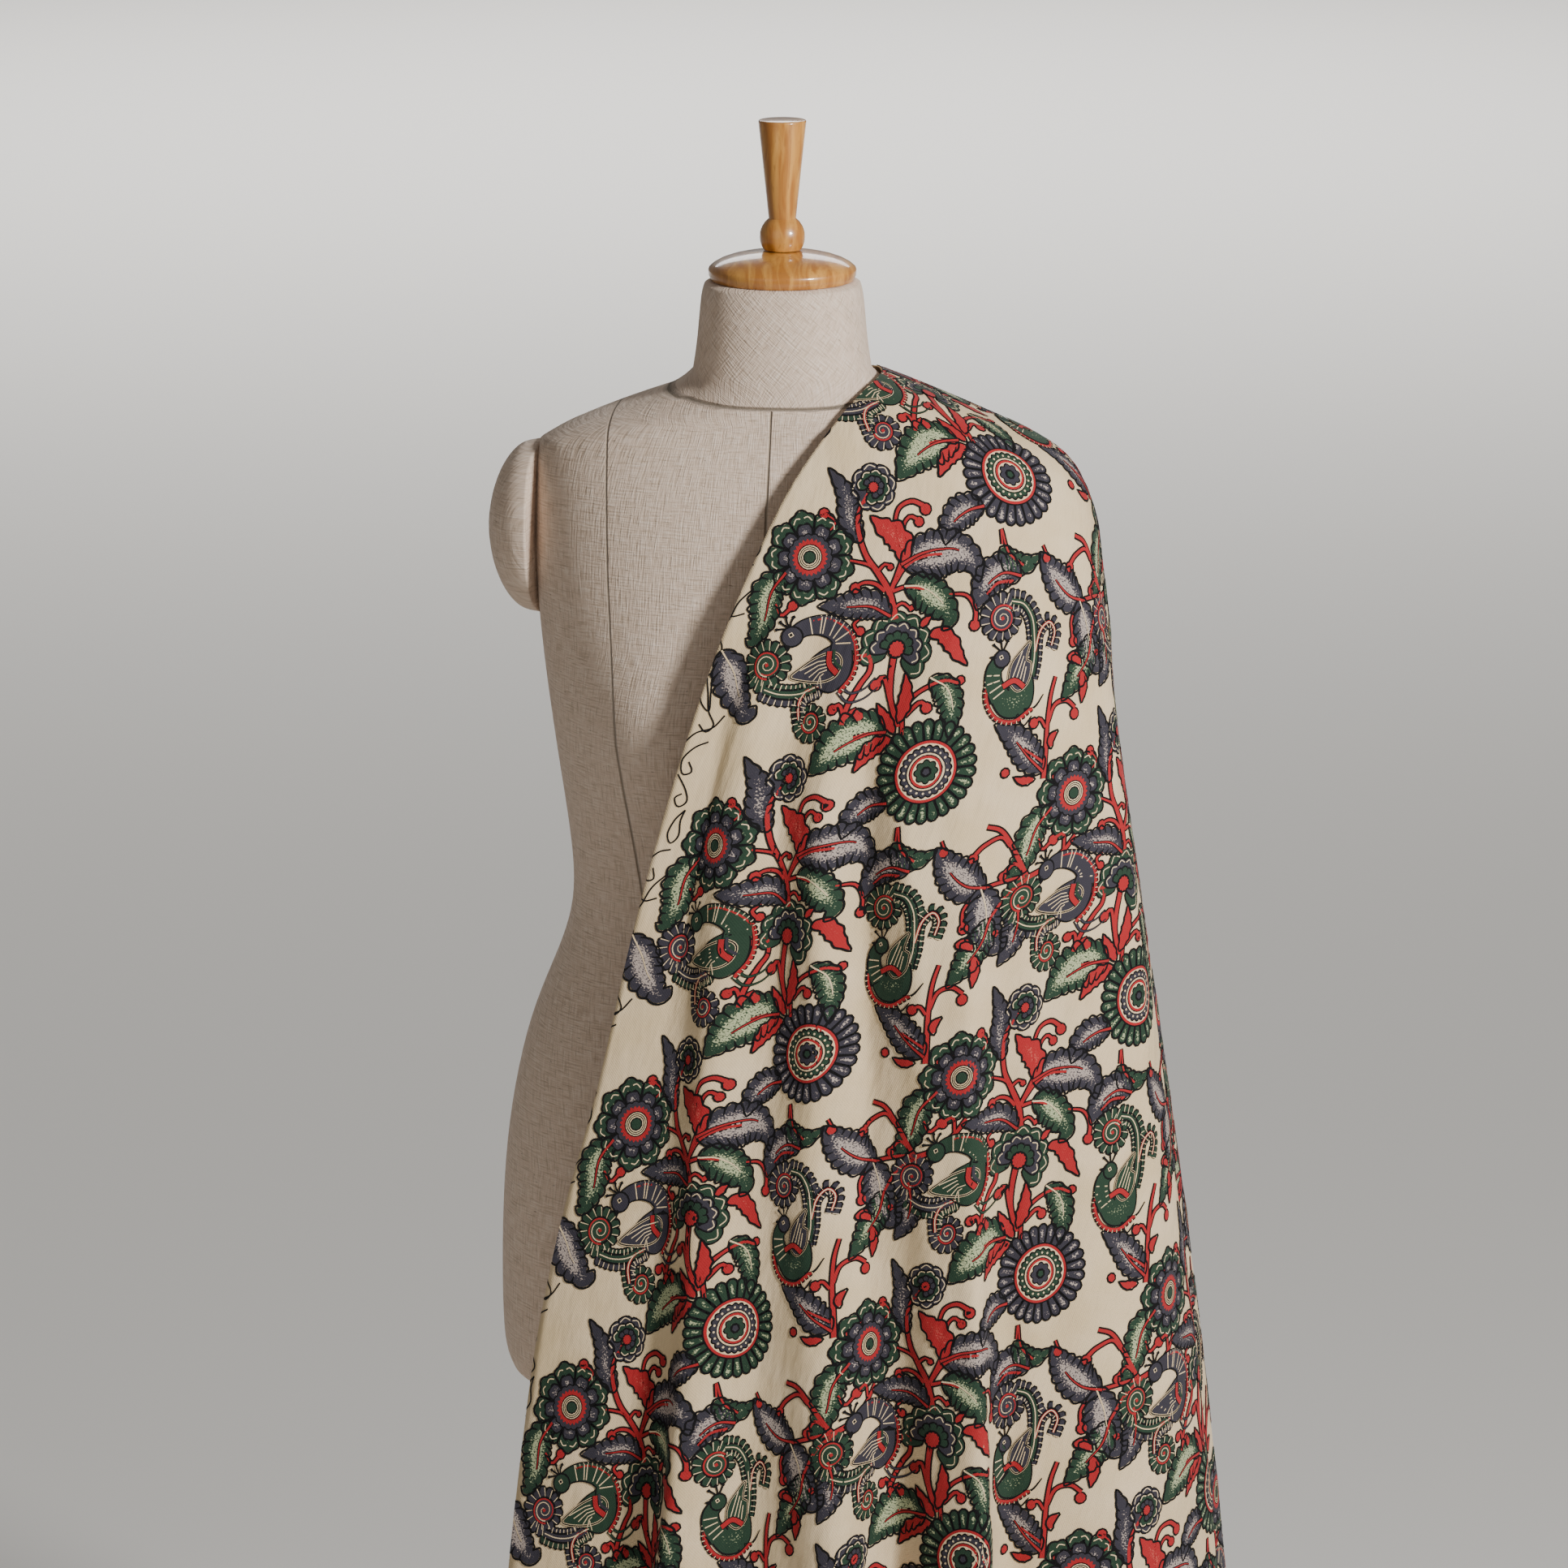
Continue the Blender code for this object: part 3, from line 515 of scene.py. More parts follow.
def varnished_wood(colours):
    """Turned beech under a clear gloss varnish: it gives warm honey brown with soft uneven
    grain and short dark flecks under a sharp highlight. Growth rings are about 6 mm apart."""
    material, tree, shader = new_material("varnished_turned_beech", {
        "Roughness": 0.34, "IOR": 1.5, "Coat Weight": 0.8, "Coat Roughness": 0.08,
        "Coat IOR": 1.5})
    place = add_node(tree, "ShaderNodeTexCoord", {}, "Object")
    grain = add_node(tree, "ShaderNodeMapping",
                     {"Vector": place, "Scale": (60.0, 16.0, 9.0),
                      "Rotation": (math.radians(12.0), math.radians(8.0), math.radians(24.0)),
                      "Location": (0.7, 0.2, 0.3)})
    rings = add_node(tree, "ShaderNodeTexNoise", {"Vector": grain, "Scale": 2.2, "Detail": 3.0,
                                                  "Distortion": 0.9})
    rings = add_node(tree, "ShaderNodeMapRange",
                     {"Value": rings, "From Min": 0.40, "From Max": 0.62})
    drawn = add_node(tree, "ShaderNodeMapping",
                     {"Vector": place, "Scale": (900.0, 900.0, 90.0)})
    specks = add_node(tree, "ShaderNodeTexNoise", {"Vector": drawn, "Scale": 1.0,
                                                   "Detail": 1.0})
    fleck = add_node(tree, "ShaderNodeMapRange",
                     {"Value": specks, "From Min": 0.60, "From Max": 0.74, "To Max": 0.4})
    wood = add_node(tree, "ShaderNodeMix",
                    {SHARE: rings, FIRST: colours.wood_dark, SECOND: colours.wood},
                    MIXED, data_type="RGBA")
    wood = add_node(tree, "ShaderNodeMix",
                    {SHARE: fleck, FIRST: wood, SECOND: colours.wood_fleck},
                    MIXED, data_type="RGBA")
    tree.links.new(wood, shader.inputs["Base Color"])
    return material


# ---- the form's solids ----

FORM_TURN = math.radians(-7.0)
LINEN_NODES = ("torso", "arm_stub_left", "arm_stub_right")
CREASE_ANGLE = math.radians(28.0)
SEAM_WIDTH = 1.1
TURNED_STEPS = 96
EDGE_STEPS = 3
SHARP_ANGLE = math.radians(35.0)
MERGE_GAP = 0.00001
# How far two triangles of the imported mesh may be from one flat, square face to be joined
JOINED_BEND = math.radians(40.0)
JOINED_SKEW = math.radians(60.0)
TURNED_POINT = namedtuple("TURNED_POINT", "radius height edge")
# Turned profiles from top to foot. edge is how far a corner is rounded.
TURNED = {
    "neck_cap": (
        (0.0000, 1.5103, 0.0), (0.0090, 1.5101, 0.0),
        (0.0180, 1.5094, 0.0), (0.0266, 1.5081, 0.0),
        (0.0346, 1.5063, 0.0), (0.0414, 1.5040, 0.0),
        (0.0464, 1.5013, 0.0), (0.0492, 1.4990, 0.0),
        (0.0500, 1.4973, 0.0), (0.0496, 1.4938, 0.0),
        (0.0480, 1.4903, 0.0004), (0.0000, 1.4903, 0.0)),
    "finial": (
        (0.0000, 1.5976, 0.0), (0.0162, 1.5976, 0.0014),
        (0.0092, 1.5317, 0.0), (0.0117, 1.5293, 0.0),
        (0.0137, 1.5262, 0.0), (0.0150, 1.5226, 0.0),
        (0.0153, 1.5190, 0.0), (0.0149, 1.5158, 0.0),
        (0.0139, 1.5129, 0.0), (0.0125, 1.5106, 0.0),
        (0.0000, 1.5106, 0.0)),
    "collar": (
        (0.0000, 0.7137, 0.0), (0.0330, 0.7137, 0.0015),
        (0.0330, 0.6917, 0.0020), (0.0238, 0.6785, 0.0015),
        (0.0218, 0.6737, 0.0010), (0.0000, 0.6737, 0.0)),
    "pole": (
        (0.0000, 0.6734, 0.0), (0.0170, 0.6734, 0.0008),
        (0.0170, 0.0553, 0.0008), (0.0000, 0.0553, 0.0)),
    "base": (
        (0.0000, 0.0550, 0.0), (0.0310, 0.0550, 0.0030),
        (0.0380, 0.0440, 0.0040), (0.0420, 0.0310, 0.0060),
        (0.0540, 0.0250, 0.0060), (0.2000, 0.0250, 0.0060),
        (0.2000, 0.0000, 0.0010), (0.0000, 0.0000, 0.0)),
}


def add_piece(name, mesh, node=None):
    """Make an object from a mesh, ride it on the body and let it stand for its node."""
    piece = bpy.data.objects.new(name, mesh)
    bpy.context.collection.objects.link(piece)
    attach(piece, BODY)
    if node:
        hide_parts(node)
    return piece


def add_modifier(piece, kind, **settings):
    """Add a modifier with its settings."""
    modifier = piece.modifiers.new(kind.lower(), kind)
    for name, value in settings.items():
        setattr(modifier, name, value)
    return modifier


def spin_profile(rows):
    """Spin a turned profile into a closed solid with its corners rounded."""
    solid = bmesh.new()
    rows = [TURNED_POINT(*row) for row in rows]
    verts = [solid.verts.new((row.radius, 0.0, row.height)) for row in rows]
    for pair in zip(verts, verts[1:]):
        solid.edges.new(pair)
    for vert, row in zip(verts, rows):
        if row.edge:
            bmesh.ops.bevel(solid, geom=[vert], affect="VERTICES", offset=row.edge,
                            segments=EDGE_STEPS, profile=0.5, material=-1)
    bmesh.ops.spin(solid, geom=[*solid.verts, *solid.edges], axis=(0.0, 0.0, 1.0),
                   angle=math.tau, steps=TURNED_STEPS, use_merge=True)
    bmesh.ops.remove_doubles(solid, verts=solid.verts, dist=MERGE_GAP)
    bmesh.ops.recalc_face_normals(solid, faces=solid.faces)
    return solid


def merged_copy(node):
    """Return a node's own mesh as a bmesh with its loose triangles joined to quads."""
    solid = bmesh.new()
    solid.from_mesh(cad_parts[node].data)
    crease = solid.edges.layers.float.new("crease_edge")
    bmesh.ops.remove_doubles(solid, verts=solid.verts, dist=MERGE_GAP)
    bmesh.ops.join_triangles(solid, faces=solid.faces, angle_face_threshold=JOINED_BEND,
                             angle_shape_threshold=JOINED_SKEW)
    for edge in solid.edges:
        if edge.is_manifold and edge.calc_face_angle() > CREASE_ANGLE:
            edge[crease] = 1.0
    return solid


# ---- the print's place on the cloth ----

# Flowers of the row nearest the front selvedge, by share of the columns and of the way down,
# and one flower to their right. The print is counted from the second, down the warp.
UPPER_FLOWER = (0.0417, 0.4033)
COUNTED_FLOWER = (0.0556, 0.5450)
LOWER_FLOWER = (0.0179, 0.7950)
RIGHT_FLOWER = (0.2183, 0.5033)


def side_places(columns, front):
    """Return where columns, as shares of all, stand in one side's own flat grid."""
    cut = CUT_COLUMN / COLUMNS
    return columns / cut if front else (columns - cut) / (1.0 - cut)


def measured_sheet():
    """Return the flat grids of both sides in the print's own coordinates, in metres."""
    front, back = flatten_sheet()
    marks = np.array([UPPER_FLOWER, COUNTED_FLOWER, LOWER_FLOWER, RIGHT_FLOWER])
    upper, origin, lower, right = at_places(front, side_places(marks[:, 0], True), marks[:, 1])
    down = (lower - upper) / np.linalg.norm(lower - upper)
    across = np.array([down[1], -down[0]])
    if (right - origin) @ across < 0.0:
        across = -across
    turn = np.stack([across, down], axis=1)
    return {"front": (front - origin) @ turn, "back": (back - origin) @ turn}


FLAT = {}


def flat_places(columns, lines, front):
    """Return the print's coordinates of places on the sheet, in metres."""
    grid = FLAT["front" if front else "back"]
    return at_places(grid, side_places(columns, front), lines)


# ---- the user's values ----

class KalamkariSizes(bpy.types.PropertyGroup):
    """Sizes of the cloth, its print and the form."""

    cloth_thickness: FloatProperty(
        name="Cloth thickness", description="Thickness of the washed cotton",
        default=0.0008, min=0.0003, max=0.0014, subtype="DISTANCE", unit="LENGTH")
    cloth_columns: IntProperty(
        name="Cloth columns", description="Faces of the sheet from selvedge to selvedge",
        default=252, min=126, max=260)
    cloth_lines: IntProperty(
        name="Cloth lines", description="Faces of the sheet from the shoulder to the hem",
        default=180, min=90, max=190)
    cut_width: FloatProperty(
        name="Cut width", description="Width of the cotton as it comes off the loom",
        default=1.1, min=0.9, max=1.4, subtype="DISTANCE", unit="LENGTH")
    cut_length: FloatProperty(
        name="Cut length", description="Length of the cotton that is draped",
        default=2.0, min=1.5, max=3.0, subtype="DISTANCE", unit="LENGTH")
    linen_smoothing: IntProperty(
        name="Linen smoothing", description="Subdivision levels of the covered form",
        default=2, min=1, max=3)


def colour_property(name, description, code):
    """Return a colour property with its default given as an sRGB hex value."""
    return FloatVectorProperty(name=name, description=description, size=4, subtype="COLOR",
                               min=0.0, max=1.0, default=hex_colour(code))


class KalamkariColours(bpy.types.PropertyGroup):
    """Colours of the cloth, its dyes, the linen and the wood."""

    ground: colour_property("Ground", "Cream cotton between the motifs", "#DEC6A0")
    ground_shade: colour_property("Ground shade", "Darker blotches of the ground", "#D2B98F")
    ground_thread: colour_property("Ground thread", "Thicker threads of the ground", "#BFAB86")
    black: colour_property("Black", "Iron black outlines", "#0B090B")
    red: colour_property("Red", "Madder red", "#A01217")
    red_pale: colour_property("Pale red", "Ground seen through the red", "#B84A40")
    green: colour_property("Green", "Dark green", "#12301C")
    green_pale: colour_property("Pale green", "Ground seen through the green", "#A8AE86")
    indigo: colour_property("Indigo", "Dark indigo grey", "#2A2630")
    indigo_pale: colour_property("Pale indigo", "Ground seen through the indigo", "#A8998F")
    linen: colour_property("Linen", "Covering of the form", "#D3BBA6")
    linen_pale: colour_property("Pale linen", "Thick pale threads", "#E6D5C4")
    linen_dark: colour_property("Dark linen", "Gaps and darker threads", "#AA947D")
    linen_fleck: colour_property("Linen fleck", "Small dark flecks", "#6E5F4D")
    linen_seam: colour_property("Linen seam", "Pressed seams", "#94836F")
    wood: colour_property("Wood", "Turned beech", "#CF9446")
    wood_dark: colour_property("Dark wood", "Dark bands of the grain", "#A96C2C")
    wood_fleck: colour_property("Wood fleck", "Short dark flecks of beech", "#8A5A28")


# ---- operators ----

class KALAMKARI_OT_cloth(bpy.types.Operator):
    """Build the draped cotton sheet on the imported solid's own folds"""

    bl_idname = "kalamkari.cloth"
    bl_label = "Cloth"

    def execute(self, context):
        sizes = context.scene.kalamkari_sizes
        FLAT.update(measured_sheet())
        columns, lines = sizes.cloth_columns, sizes.cloth_lines
        points = creased_sheet(columns, lines)
        sheet = bmesh.new()
        bmesh.ops.create_grid(sheet, x_segments=columns, y_segments=lines, size=0.5)
        places = {}
        for vert in sheet.verts:
            column = round((vert.co.x + 0.5) * columns)
            line = round((vert.co.y + 0.5) * lines)
            places[vert] = (column, line)
            vert.co = points[line, column]
        flat = sheet.loops.layers.uv.new("flat")
        cut = CUT_COLUMN / COLUMNS * columns
        grid = np.meshgrid(np.arange(columns + 1), np.arange(lines + 1))
        shares = (grid[0].ravel() / columns, grid[1].ravel() / lines)
        shape = (lines + 1, columns + 1, 2)
        drawn = [flat_places(*shares, front).reshape(shape) for front in (True, False)]
        for face in sheet.faces:
            behind = sum(places[vert][0] for vert in face.verts) / 4.0 > cut
            for loop in face.loops:
                column, line = places[loop.vert]
                loop[flat].uv = drawn[behind][line, column]
        ridge = [vert for vert in sheet.verts if places[vert][1] == 0]
        bmesh.ops.remove_doubles(sheet, verts=ridge, dist=RIDGE_MERGE)
        bmesh.ops.reverse_faces(sheet, faces=sheet.faces)
        mesh = bpy.data.meshes.new("cotton_sheet")
        sheet.to_mesh(mesh)
        sheet.free()
        mesh.shade_smooth()
        if mesh.polygons[len(mesh.polygons) // 2].normal.length == 0.0:
            raise RuntimeError("the sheet has a face without a size")
        mesh.materials.append(cotton_ground(context.scene.kalamkari_colours))
        piece = add_piece("cotton_sheet", mesh, "cloth")
        add_modifier(piece, "SOLIDIFY", thickness=sizes.cloth_thickness, offset=-1.0,
                     use_even_offset=False)
        return {"FINISHED"}


SEAM = namedtuple("SEAM", "height reach")
LONG_SEAM = (SEAM(0.714, 0.098), SEAM(0.82, 0.104), SEAM(0.93, 0.100), SEAM(1.06, 0.082),
             SEAM(1.19, 0.100), SEAM(1.30, 0.108), SEAM(1.41, 0.113))
# The neck seam's highest place, and how far it sinks at the sides and in front, with the
# neck's reach there
NECK_SEAM_HEIGHT = 1.4262
NECK_DROOP, NECK_HALF_WIDTH = 0.007, 0.067
NECK_DIP, NECK_FRONT = 0.013, 0.0605


def between_rows(height, rows):
    """Return the second column of a table where its first reaches a height."""
    return np.interp(height, [row[0] for row in rows], [row[1] for row in rows])


def neck_seam(x, y):
    """Return the height of the seam at the neck's foot."""
    droop = NECK_DROOP * (x / NECK_HALF_WIDTH) ** 2
    dip = np.where(y < 0.0, NECK_DIP * (y / NECK_FRONT) ** 2, 0.0)
    return NECK_SEAM_HEIGHT - droop - dip


ARM_SEAM_REACH = 0.010
ARM_SEAM_SHARE = 0.25


def close_arm_seam(solid):
    """Reach an arm stub's inner end into the torso, so that its sewn seam stays shut."""
    reaches = [abs(vert.co.x) for vert in solid.verts]
    near, far = min(reaches), max(reaches)
    for vert in solid.verts:
        share = 1.0 - (abs(vert.co.x) - near) / (far - near) / ARM_SEAM_SHARE
        if share > 0.0:
            vert.co.x -= math.copysign(ARM_SEAM_REACH * min(2.0 * share, 1.0), vert.co.x)


GIRTH = namedtuple("GIRTH", "height radius")
GIRTHS = (GIRTH(0.714, 0.155), GIRTH(0.88, 0.16), GIRTH(1.06, 0.12), GIRTH(1.25, 0.14),
          GIRTH(1.40, 0.12), GIRTH(1.43, 0.06))
NECK_BIAS = math.radians(40.0)
FAR_FROM_SEAM = 50.0
# A face whose corners lie further apart across than this spans the middle of the back
WRAPPED_FACE = 0.2
ROUND_THE_BACK = math.tau * 0.12


def torso_coordinates(x, y, z):
    """Return the torso's linen coordinates and its signed distances from seams, in mm."""
    neck_gap = z - neck_seam(x, y)
    across = np.arctan2(x, -y) * between_rows(z, GIRTHS)
    flat = np.stack([across, z], axis=1)
    cosine, sine = math.cos(NECK_BIAS), math.sin(NECK_BIAS)
    turned = np.stack([across * cosine - z * sine, across * sine + z * cosine], axis=1)
    flat[neck_gap > 0.0] = turned[neck_gap > 0.0]
    # Above the neck seam the long seams end: their distance grows with the height
    above = np.maximum(neck_gap, 0.0) * FAR_FROM_SEAM
    beside = np.abs(x) - between_rows(z, LONG_SEAM) - above
    seams = np.stack([np.abs(x) + above, beside, neck_gap], axis=1)
    seams[:, 0] = np.where(neck_gap > 0.0, seams[:, 0], x)
    return flat, seams / MM


def dress_linen(node, sizes, material):
    """Dress one linen node: a smooth copy with its weave's coordinates and its seams."""
    solid = merged_copy(node)
    if node != "torso":
        close_arm_seam(solid)
    mesh = bpy.data.meshes.new("linen_" + node)
    solid.to_mesh(mesh)
    solid.free()
    piece = add_piece("linen_" + node, mesh, node)
    smoothing = add_modifier(piece, "SUBSURF", levels=sizes.linen_smoothing,
                             render_levels=sizes.linen_smoothing)
    graph = bpy.context.evaluated_depsgraph_get()
    smooth = bpy.data.meshes.new_from_object(piece.evaluated_get(graph))
    piece.modifiers.remove(smoothing)
    piece.data = smooth
    smooth.name = "linen_" + node
    smooth.shade_smooth()
    count = len(smooth.vertices)
    places = np.empty(count * 3)
    smooth.vertices.foreach_get("co", places)
    places = places.reshape(count, 3)
    cosine, sine = math.cos(-FORM_TURN), math.sin(-FORM_TURN)
    x = places[:, 0] * cosine - places[:, 1] * sine
    y = places[:, 0] * sine + places[:, 1] * cosine
    z = places[:, 2]
    if node == "torso":
        flat, seams = torso_coordinates(x, y, z)
    else:
        flat = np.stack([y, z], axis=1)
        seams = np.full((count, 3), FAR_FROM_SEAM)
    layer = smooth.uv_layers.new(name="flat")
    for face in smooth.polygons:
        corners = [flat[i] for i in face.vertices]
        wrap = max(c[0] for c in corners) - min(c[0] for c in corners) > WRAPPED_FACE
        for loop, corner in zip(face.loop_indices, corners):
            shift = ROUND_THE_BACK if wrap and corner[0] < 0.0 else 0.0
            layer.uv[loop].vector = (corner[0] + shift, corner[1])
    attribute = smooth.attributes.new("seams", "FLOAT_VECTOR", "POINT")
    attribute.data.foreach_set("vector", seams.ravel())
    smooth.materials.clear()
    smooth.materials.append(material)


class KALAMKARI_OT_form(bpy.types.Operator):
    """Build the linen torso and its arm stubs"""

    bl_idname = "kalamkari.form"
    bl_label = "Linen form"

    def execute(self, context):
        material = covering_linen(context.scene.kalamkari_colours)
        for node in LINEN_NODES:
            dress_linen(node, context.scene.kalamkari_sizes, material)
        return {"FINISHED"}


class KALAMKARI_OT_wood(bpy.types.Operator):
    """Build the turned cap, finial, collar, pole and base"""

    bl_idname = "kalamkari.wood"
    bl_label = "Turned wood"

    def execute(self, context):
        material = varnished_wood(context.scene.kalamkari_colours)
        for node, rows in TURNED.items():
            solid = spin_profile(rows)
            mesh = bpy.data.meshes.new("turned_" + node)
            solid.to_mesh(mesh)
            solid.free()
            mesh.shade_smooth()
            mesh.set_sharp_from_angle(angle=SHARP_ANGLE)
            mesh.materials.append(material)
            add_piece("turned_" + node, mesh, node)
        return {"FINISHED"}


CAMERA_PITCH = math.radians(14.5)
CAMERA_DISTANCE = 3.6
CAMERA_AIM = Vector((0.0, 0.0, 1.14))
CAMERA_LENS = 120.0
CAMERA_SHIFT = 0.00104
FLOOR_REACH = 30.0
FLOOR_COLOUR = "#EDEAE5"
ROOM_COLOUR = "#E6E3DE"
ROOM_LIGHT = 0.22
LIGHT = namedtuple("LIGHT", "name x y z width power aim_y aim_z")
LIGHTS = [LIGHT(*row) for row in (
    ("key", 1.75, -1.70, 2.40, 0.5, 108.0, 0.0, 1.25),
    ("fill", -3.0, -5.0, 3.0, 5.0, 24.0, 0.0, 1.14),
    ("backdrop", 0.0, 13.0, 6.0, 10.0, 1100.0, 13.5, 0.0),
)]


class KALAMKARI_OT_stage(bpy.types.Operator):
    """Build the pale floor, the soft lights and the camera"""

    bl_idname = "kalamkari.stage"
    bl_label = "Stage"

    def execute(self, context):
        scene = context.scene
        floor = bmesh.new()
        bmesh.ops.create_grid(floor, x_segments=1, y_segments=1, size=FLOOR_REACH)
        mesh = bpy.data.meshes.new("floor")
        floor.to_mesh(mesh)
        floor.free()
        # Matt painted board: it gives an even pale ground that takes a soft shadow
        material, _, _ = new_material("matt_painted_board", {
            "Base Color": hex_colour(FLOOR_COLOUR), "Roughness": 0.9})
        mesh.materials.append(material)
        board = bpy.data.objects.new("floor", mesh)
        context.collection.objects.link(board)
        world = bpy.data.worlds.new("studio")
        world.use_nodes = True
        back = world.node_tree.nodes["Background"]
        back.inputs["Color"].default_value = hex_colour(ROOM_COLOUR)
        back.inputs["Strength"].default_value = ROOM_LIGHT
        scene.world = world
        for row in LIGHTS:
            light = bpy.data.lights.new(row.name, "AREA")
            light.shape = "DISK"
            light.size = row.width
            light.energy = row.power
            lamp = bpy.data.objects.new(row.name, light)
            lamp.location = (row.x, row.y, row.z)
            aim = Vector((0.0, row.aim_y, row.aim_z)) - lamp.location
            lamp.rotation_euler = aim.to_track_quat("-Z", "Y").to_euler()
            context.collection.objects.link(lamp)
        lens = bpy.data.cameras.new("camera")
        lens.lens = CAMERA_LENS
        lens.shift_x = CAMERA_SHIFT
        camera = bpy.data.objects.new("camera", lens)
        back_off = Vector((0.0, -math.cos(CAMERA_PITCH), math.sin(CAMERA_PITCH)))
        camera.location = CAMERA_AIM + back_off * CAMERA_DISTANCE
        camera.rotation_euler = (math.pi / 2.0 - CAMERA_PITCH, 0.0, 0.0)
        context.collection.objects.link(camera)
        scene.camera = camera
        return {"FINISHED"}


# ---- the print's shapes, in millimetres of the flat print: u across, v down the warp ----

DYES = ("cream", "black", "red", "green", "indigo")
# Places that are printed green in one row and indigo in the next
CHANGING = {"even_green": ("green", "indigo"), "even_indigo": ("indigo", "green")}
REPEAT_WIDTH = 250.0
REPEAT_HEIGHT = 200.0
HALF_DROP = 100.0
LINE_WIDTH = 1.5
FINE_LINE = 0.8
STEM_EDGE = 1.15
STEM_SHARE = 0.74
BALL_SHARE = 0.86
WIDE_LINE = 4.5
GAP = 1.0
FILL_SPACING = 3.2
LINE_SPACING = 2.4
CURVE_STEPS = 12
# A fill's inner points: the gap between their rows and the least gap to the edge, as shares
# of their spacing
ROW_GAP = 0.87
EDGE_GAP = 0.45
SAME_POINT = 1e-4
TINY = 1e-9
MARK = namedtuple("MARK", "dye level points faces hearts")


def even_points(curve, closed=False, spacing=LINE_SPACING):
    """Return a curve's points at an even spacing."""
    lengths = np.concatenate([[0.0], np.cumsum(np.linalg.norm(np.diff(curve, axis=0), axis=1))])
    count = max(int(math.ceil(lengths[-1] / spacing)), 4 if closed else 1)
    stations = np.linspace(0.0, lengths[-1], count + 1)
    if closed:
        stations = stations[:-1]
    return np.column_stack([np.interp(stations, lengths, curve[:, axis]) for axis in (0, 1)])


def even_outline(outline, spacing=LINE_SPACING):
    """Return a closed outline's points at an even spacing."""
    return even_points(np.concatenate([outline, outline[:1]]), True, spacing)


def smooth_curve(stops, closed=False, spacing=LINE_SPACING):
    """Return evenly spaced points on a smooth curve through the stops."""
    stops = np.asarray(stops, float)
    if closed:
        ends = (stops[-1:], stops[:2])
    else:
        ends = (2.0 * stops[:1] - stops[1:2], 2.0 * stops[-1:] - stops[-2:-1])
    around = np.concatenate([ends[0], stops, ends[1]])
    share = np.linspace(0.0, 1.0, CURVE_STEPS, endpoint=False)[:, None]
    pieces = [smooth_between(*four, share)
              for four in zip(around, around[1:], around[2:], around[3:])]
    pieces.append(stops[:1] if closed else stops[-1:])
    return even_points(np.concatenate(pieces), closed, spacing)


def sideways(curve, closed=False):
    """Return the unit direction to the left of a curve at each point."""
    if closed:
        along = np.roll(curve, -1, axis=0) - np.roll(curve, 1, axis=0)
    else:
        along = np.gradient(curve, axis=0)
    along /= np.maximum(np.linalg.norm(along, axis=1, keepdims=True), TINY)
    return np.column_stack([-along[:, 1], along[:, 0]])


def ways(angles):
    """Return the unit direction at each angle."""
    return np.column_stack([np.cos(angles), np.sin(angles)])


def ink_line(curve, widths, dye="black", level=1, closed=False):
    """Return a printed line along a curve, of one width or of a width for each end."""
    curve = np.asarray(curve, float)
    if np.isscalar(widths):
        widths = (widths, widths)
    half = np.interp(np.linspace(0.0, 1.0, len(curve)), np.linspace(0.0, 1.0, len(widths)),
                     widths)[:, None] / 2.0
    side = sideways(curve, closed) * half
    if max(widths) > WIDE_LINE and not closed:
        return ink_fill(np.concatenate([curve + side, (curve - side)[::-1]]), dye, level, 0.0,
                        False)
    count = len(curve)
    points = np.concatenate([curve + side, curve - side])
    steps = np.arange(count if closed else count - 1)
    ahead = (steps + 1) % count
    faces = np.concatenate([np.column_stack([steps, steps + count, ahead]),
                            np.column_stack([ahead, steps + count, ahead + count])])
    return MARK(dye, level, points, faces, np.zeros(len(points)))


def inside(points, outline):
    """Return which points lie within an outline."""
    x, y = points[:, :1], points[:, 1:]
    ahead = np.roll(outline, -1, axis=0)
    above = (outline[:, 1] > y) != (ahead[:, 1] > y)
    rise = np.where(ahead[:, 1] == outline[:, 1], TINY, ahead[:, 1] - outline[:, 1])
    crossing = outline[:, 0] + (y - outline[:, 1]) * (ahead[:, 0] - outline[:, 0]) / rise
    return (above & (x < crossing)).sum(axis=1) % 2 == 1


def edge_distance(points, outline):
    """Return how far points are from an outline."""
    ahead = np.roll(outline, -1, axis=0) - outline
    size = np.maximum((ahead ** 2).sum(axis=1), TINY)
    gap = points[:, None, :] - outline[None]
    share = np.clip((gap * ahead).sum(axis=2) / size, 0.0, 1.0)
    return np.linalg.norm(gap - share[:, :, None] * ahead, axis=2).min(axis=1)


def ink_fill(outline, dye, level=2, heart=1.0, smooth=True):
    """Return a printed area inside a closed outline, with its depth from the edge."""
    if smooth:
        outline = even_outline(outline, FILL_SPACING)
    low, high = outline.min(axis=0), outline.max(axis=0)
    rows = np.arange(low[1], high[1], FILL_SPACING * ROW_GAP)
    grid = []
    for index, row in enumerate(rows):
        shift = FILL_SPACING / 2.0 if index % 2 else 0.0
        across = np.arange(low[0] + shift, high[0], FILL_SPACING)
        grid.append(np.column_stack([across, np.full(len(across), row)]))
    middle = np.concatenate(grid) if grid else np.zeros((0, 2))
    if len(middle):
        middle = middle[inside(middle, outline)]
    if len(middle):
        middle = middle[edge_distance(middle, outline) > FILL_SPACING * EDGE_GAP]
    points = np.concatenate([outline, middle])
    count = len(outline)
    edges = [(i, (i + 1) % count) for i in range(count)]
    placed, _, faces, *_ = delaunay_2d_cdt([Vector(p) for p in points], edges, [], 1, SAME_POINT)
    points = np.array([p[:] for p in placed])
    faces = np.array([face[:3] for face in faces], int).reshape(-1, 3)
    return MARK(dye, level, points, faces, edge_distance(points, outline) * heart)


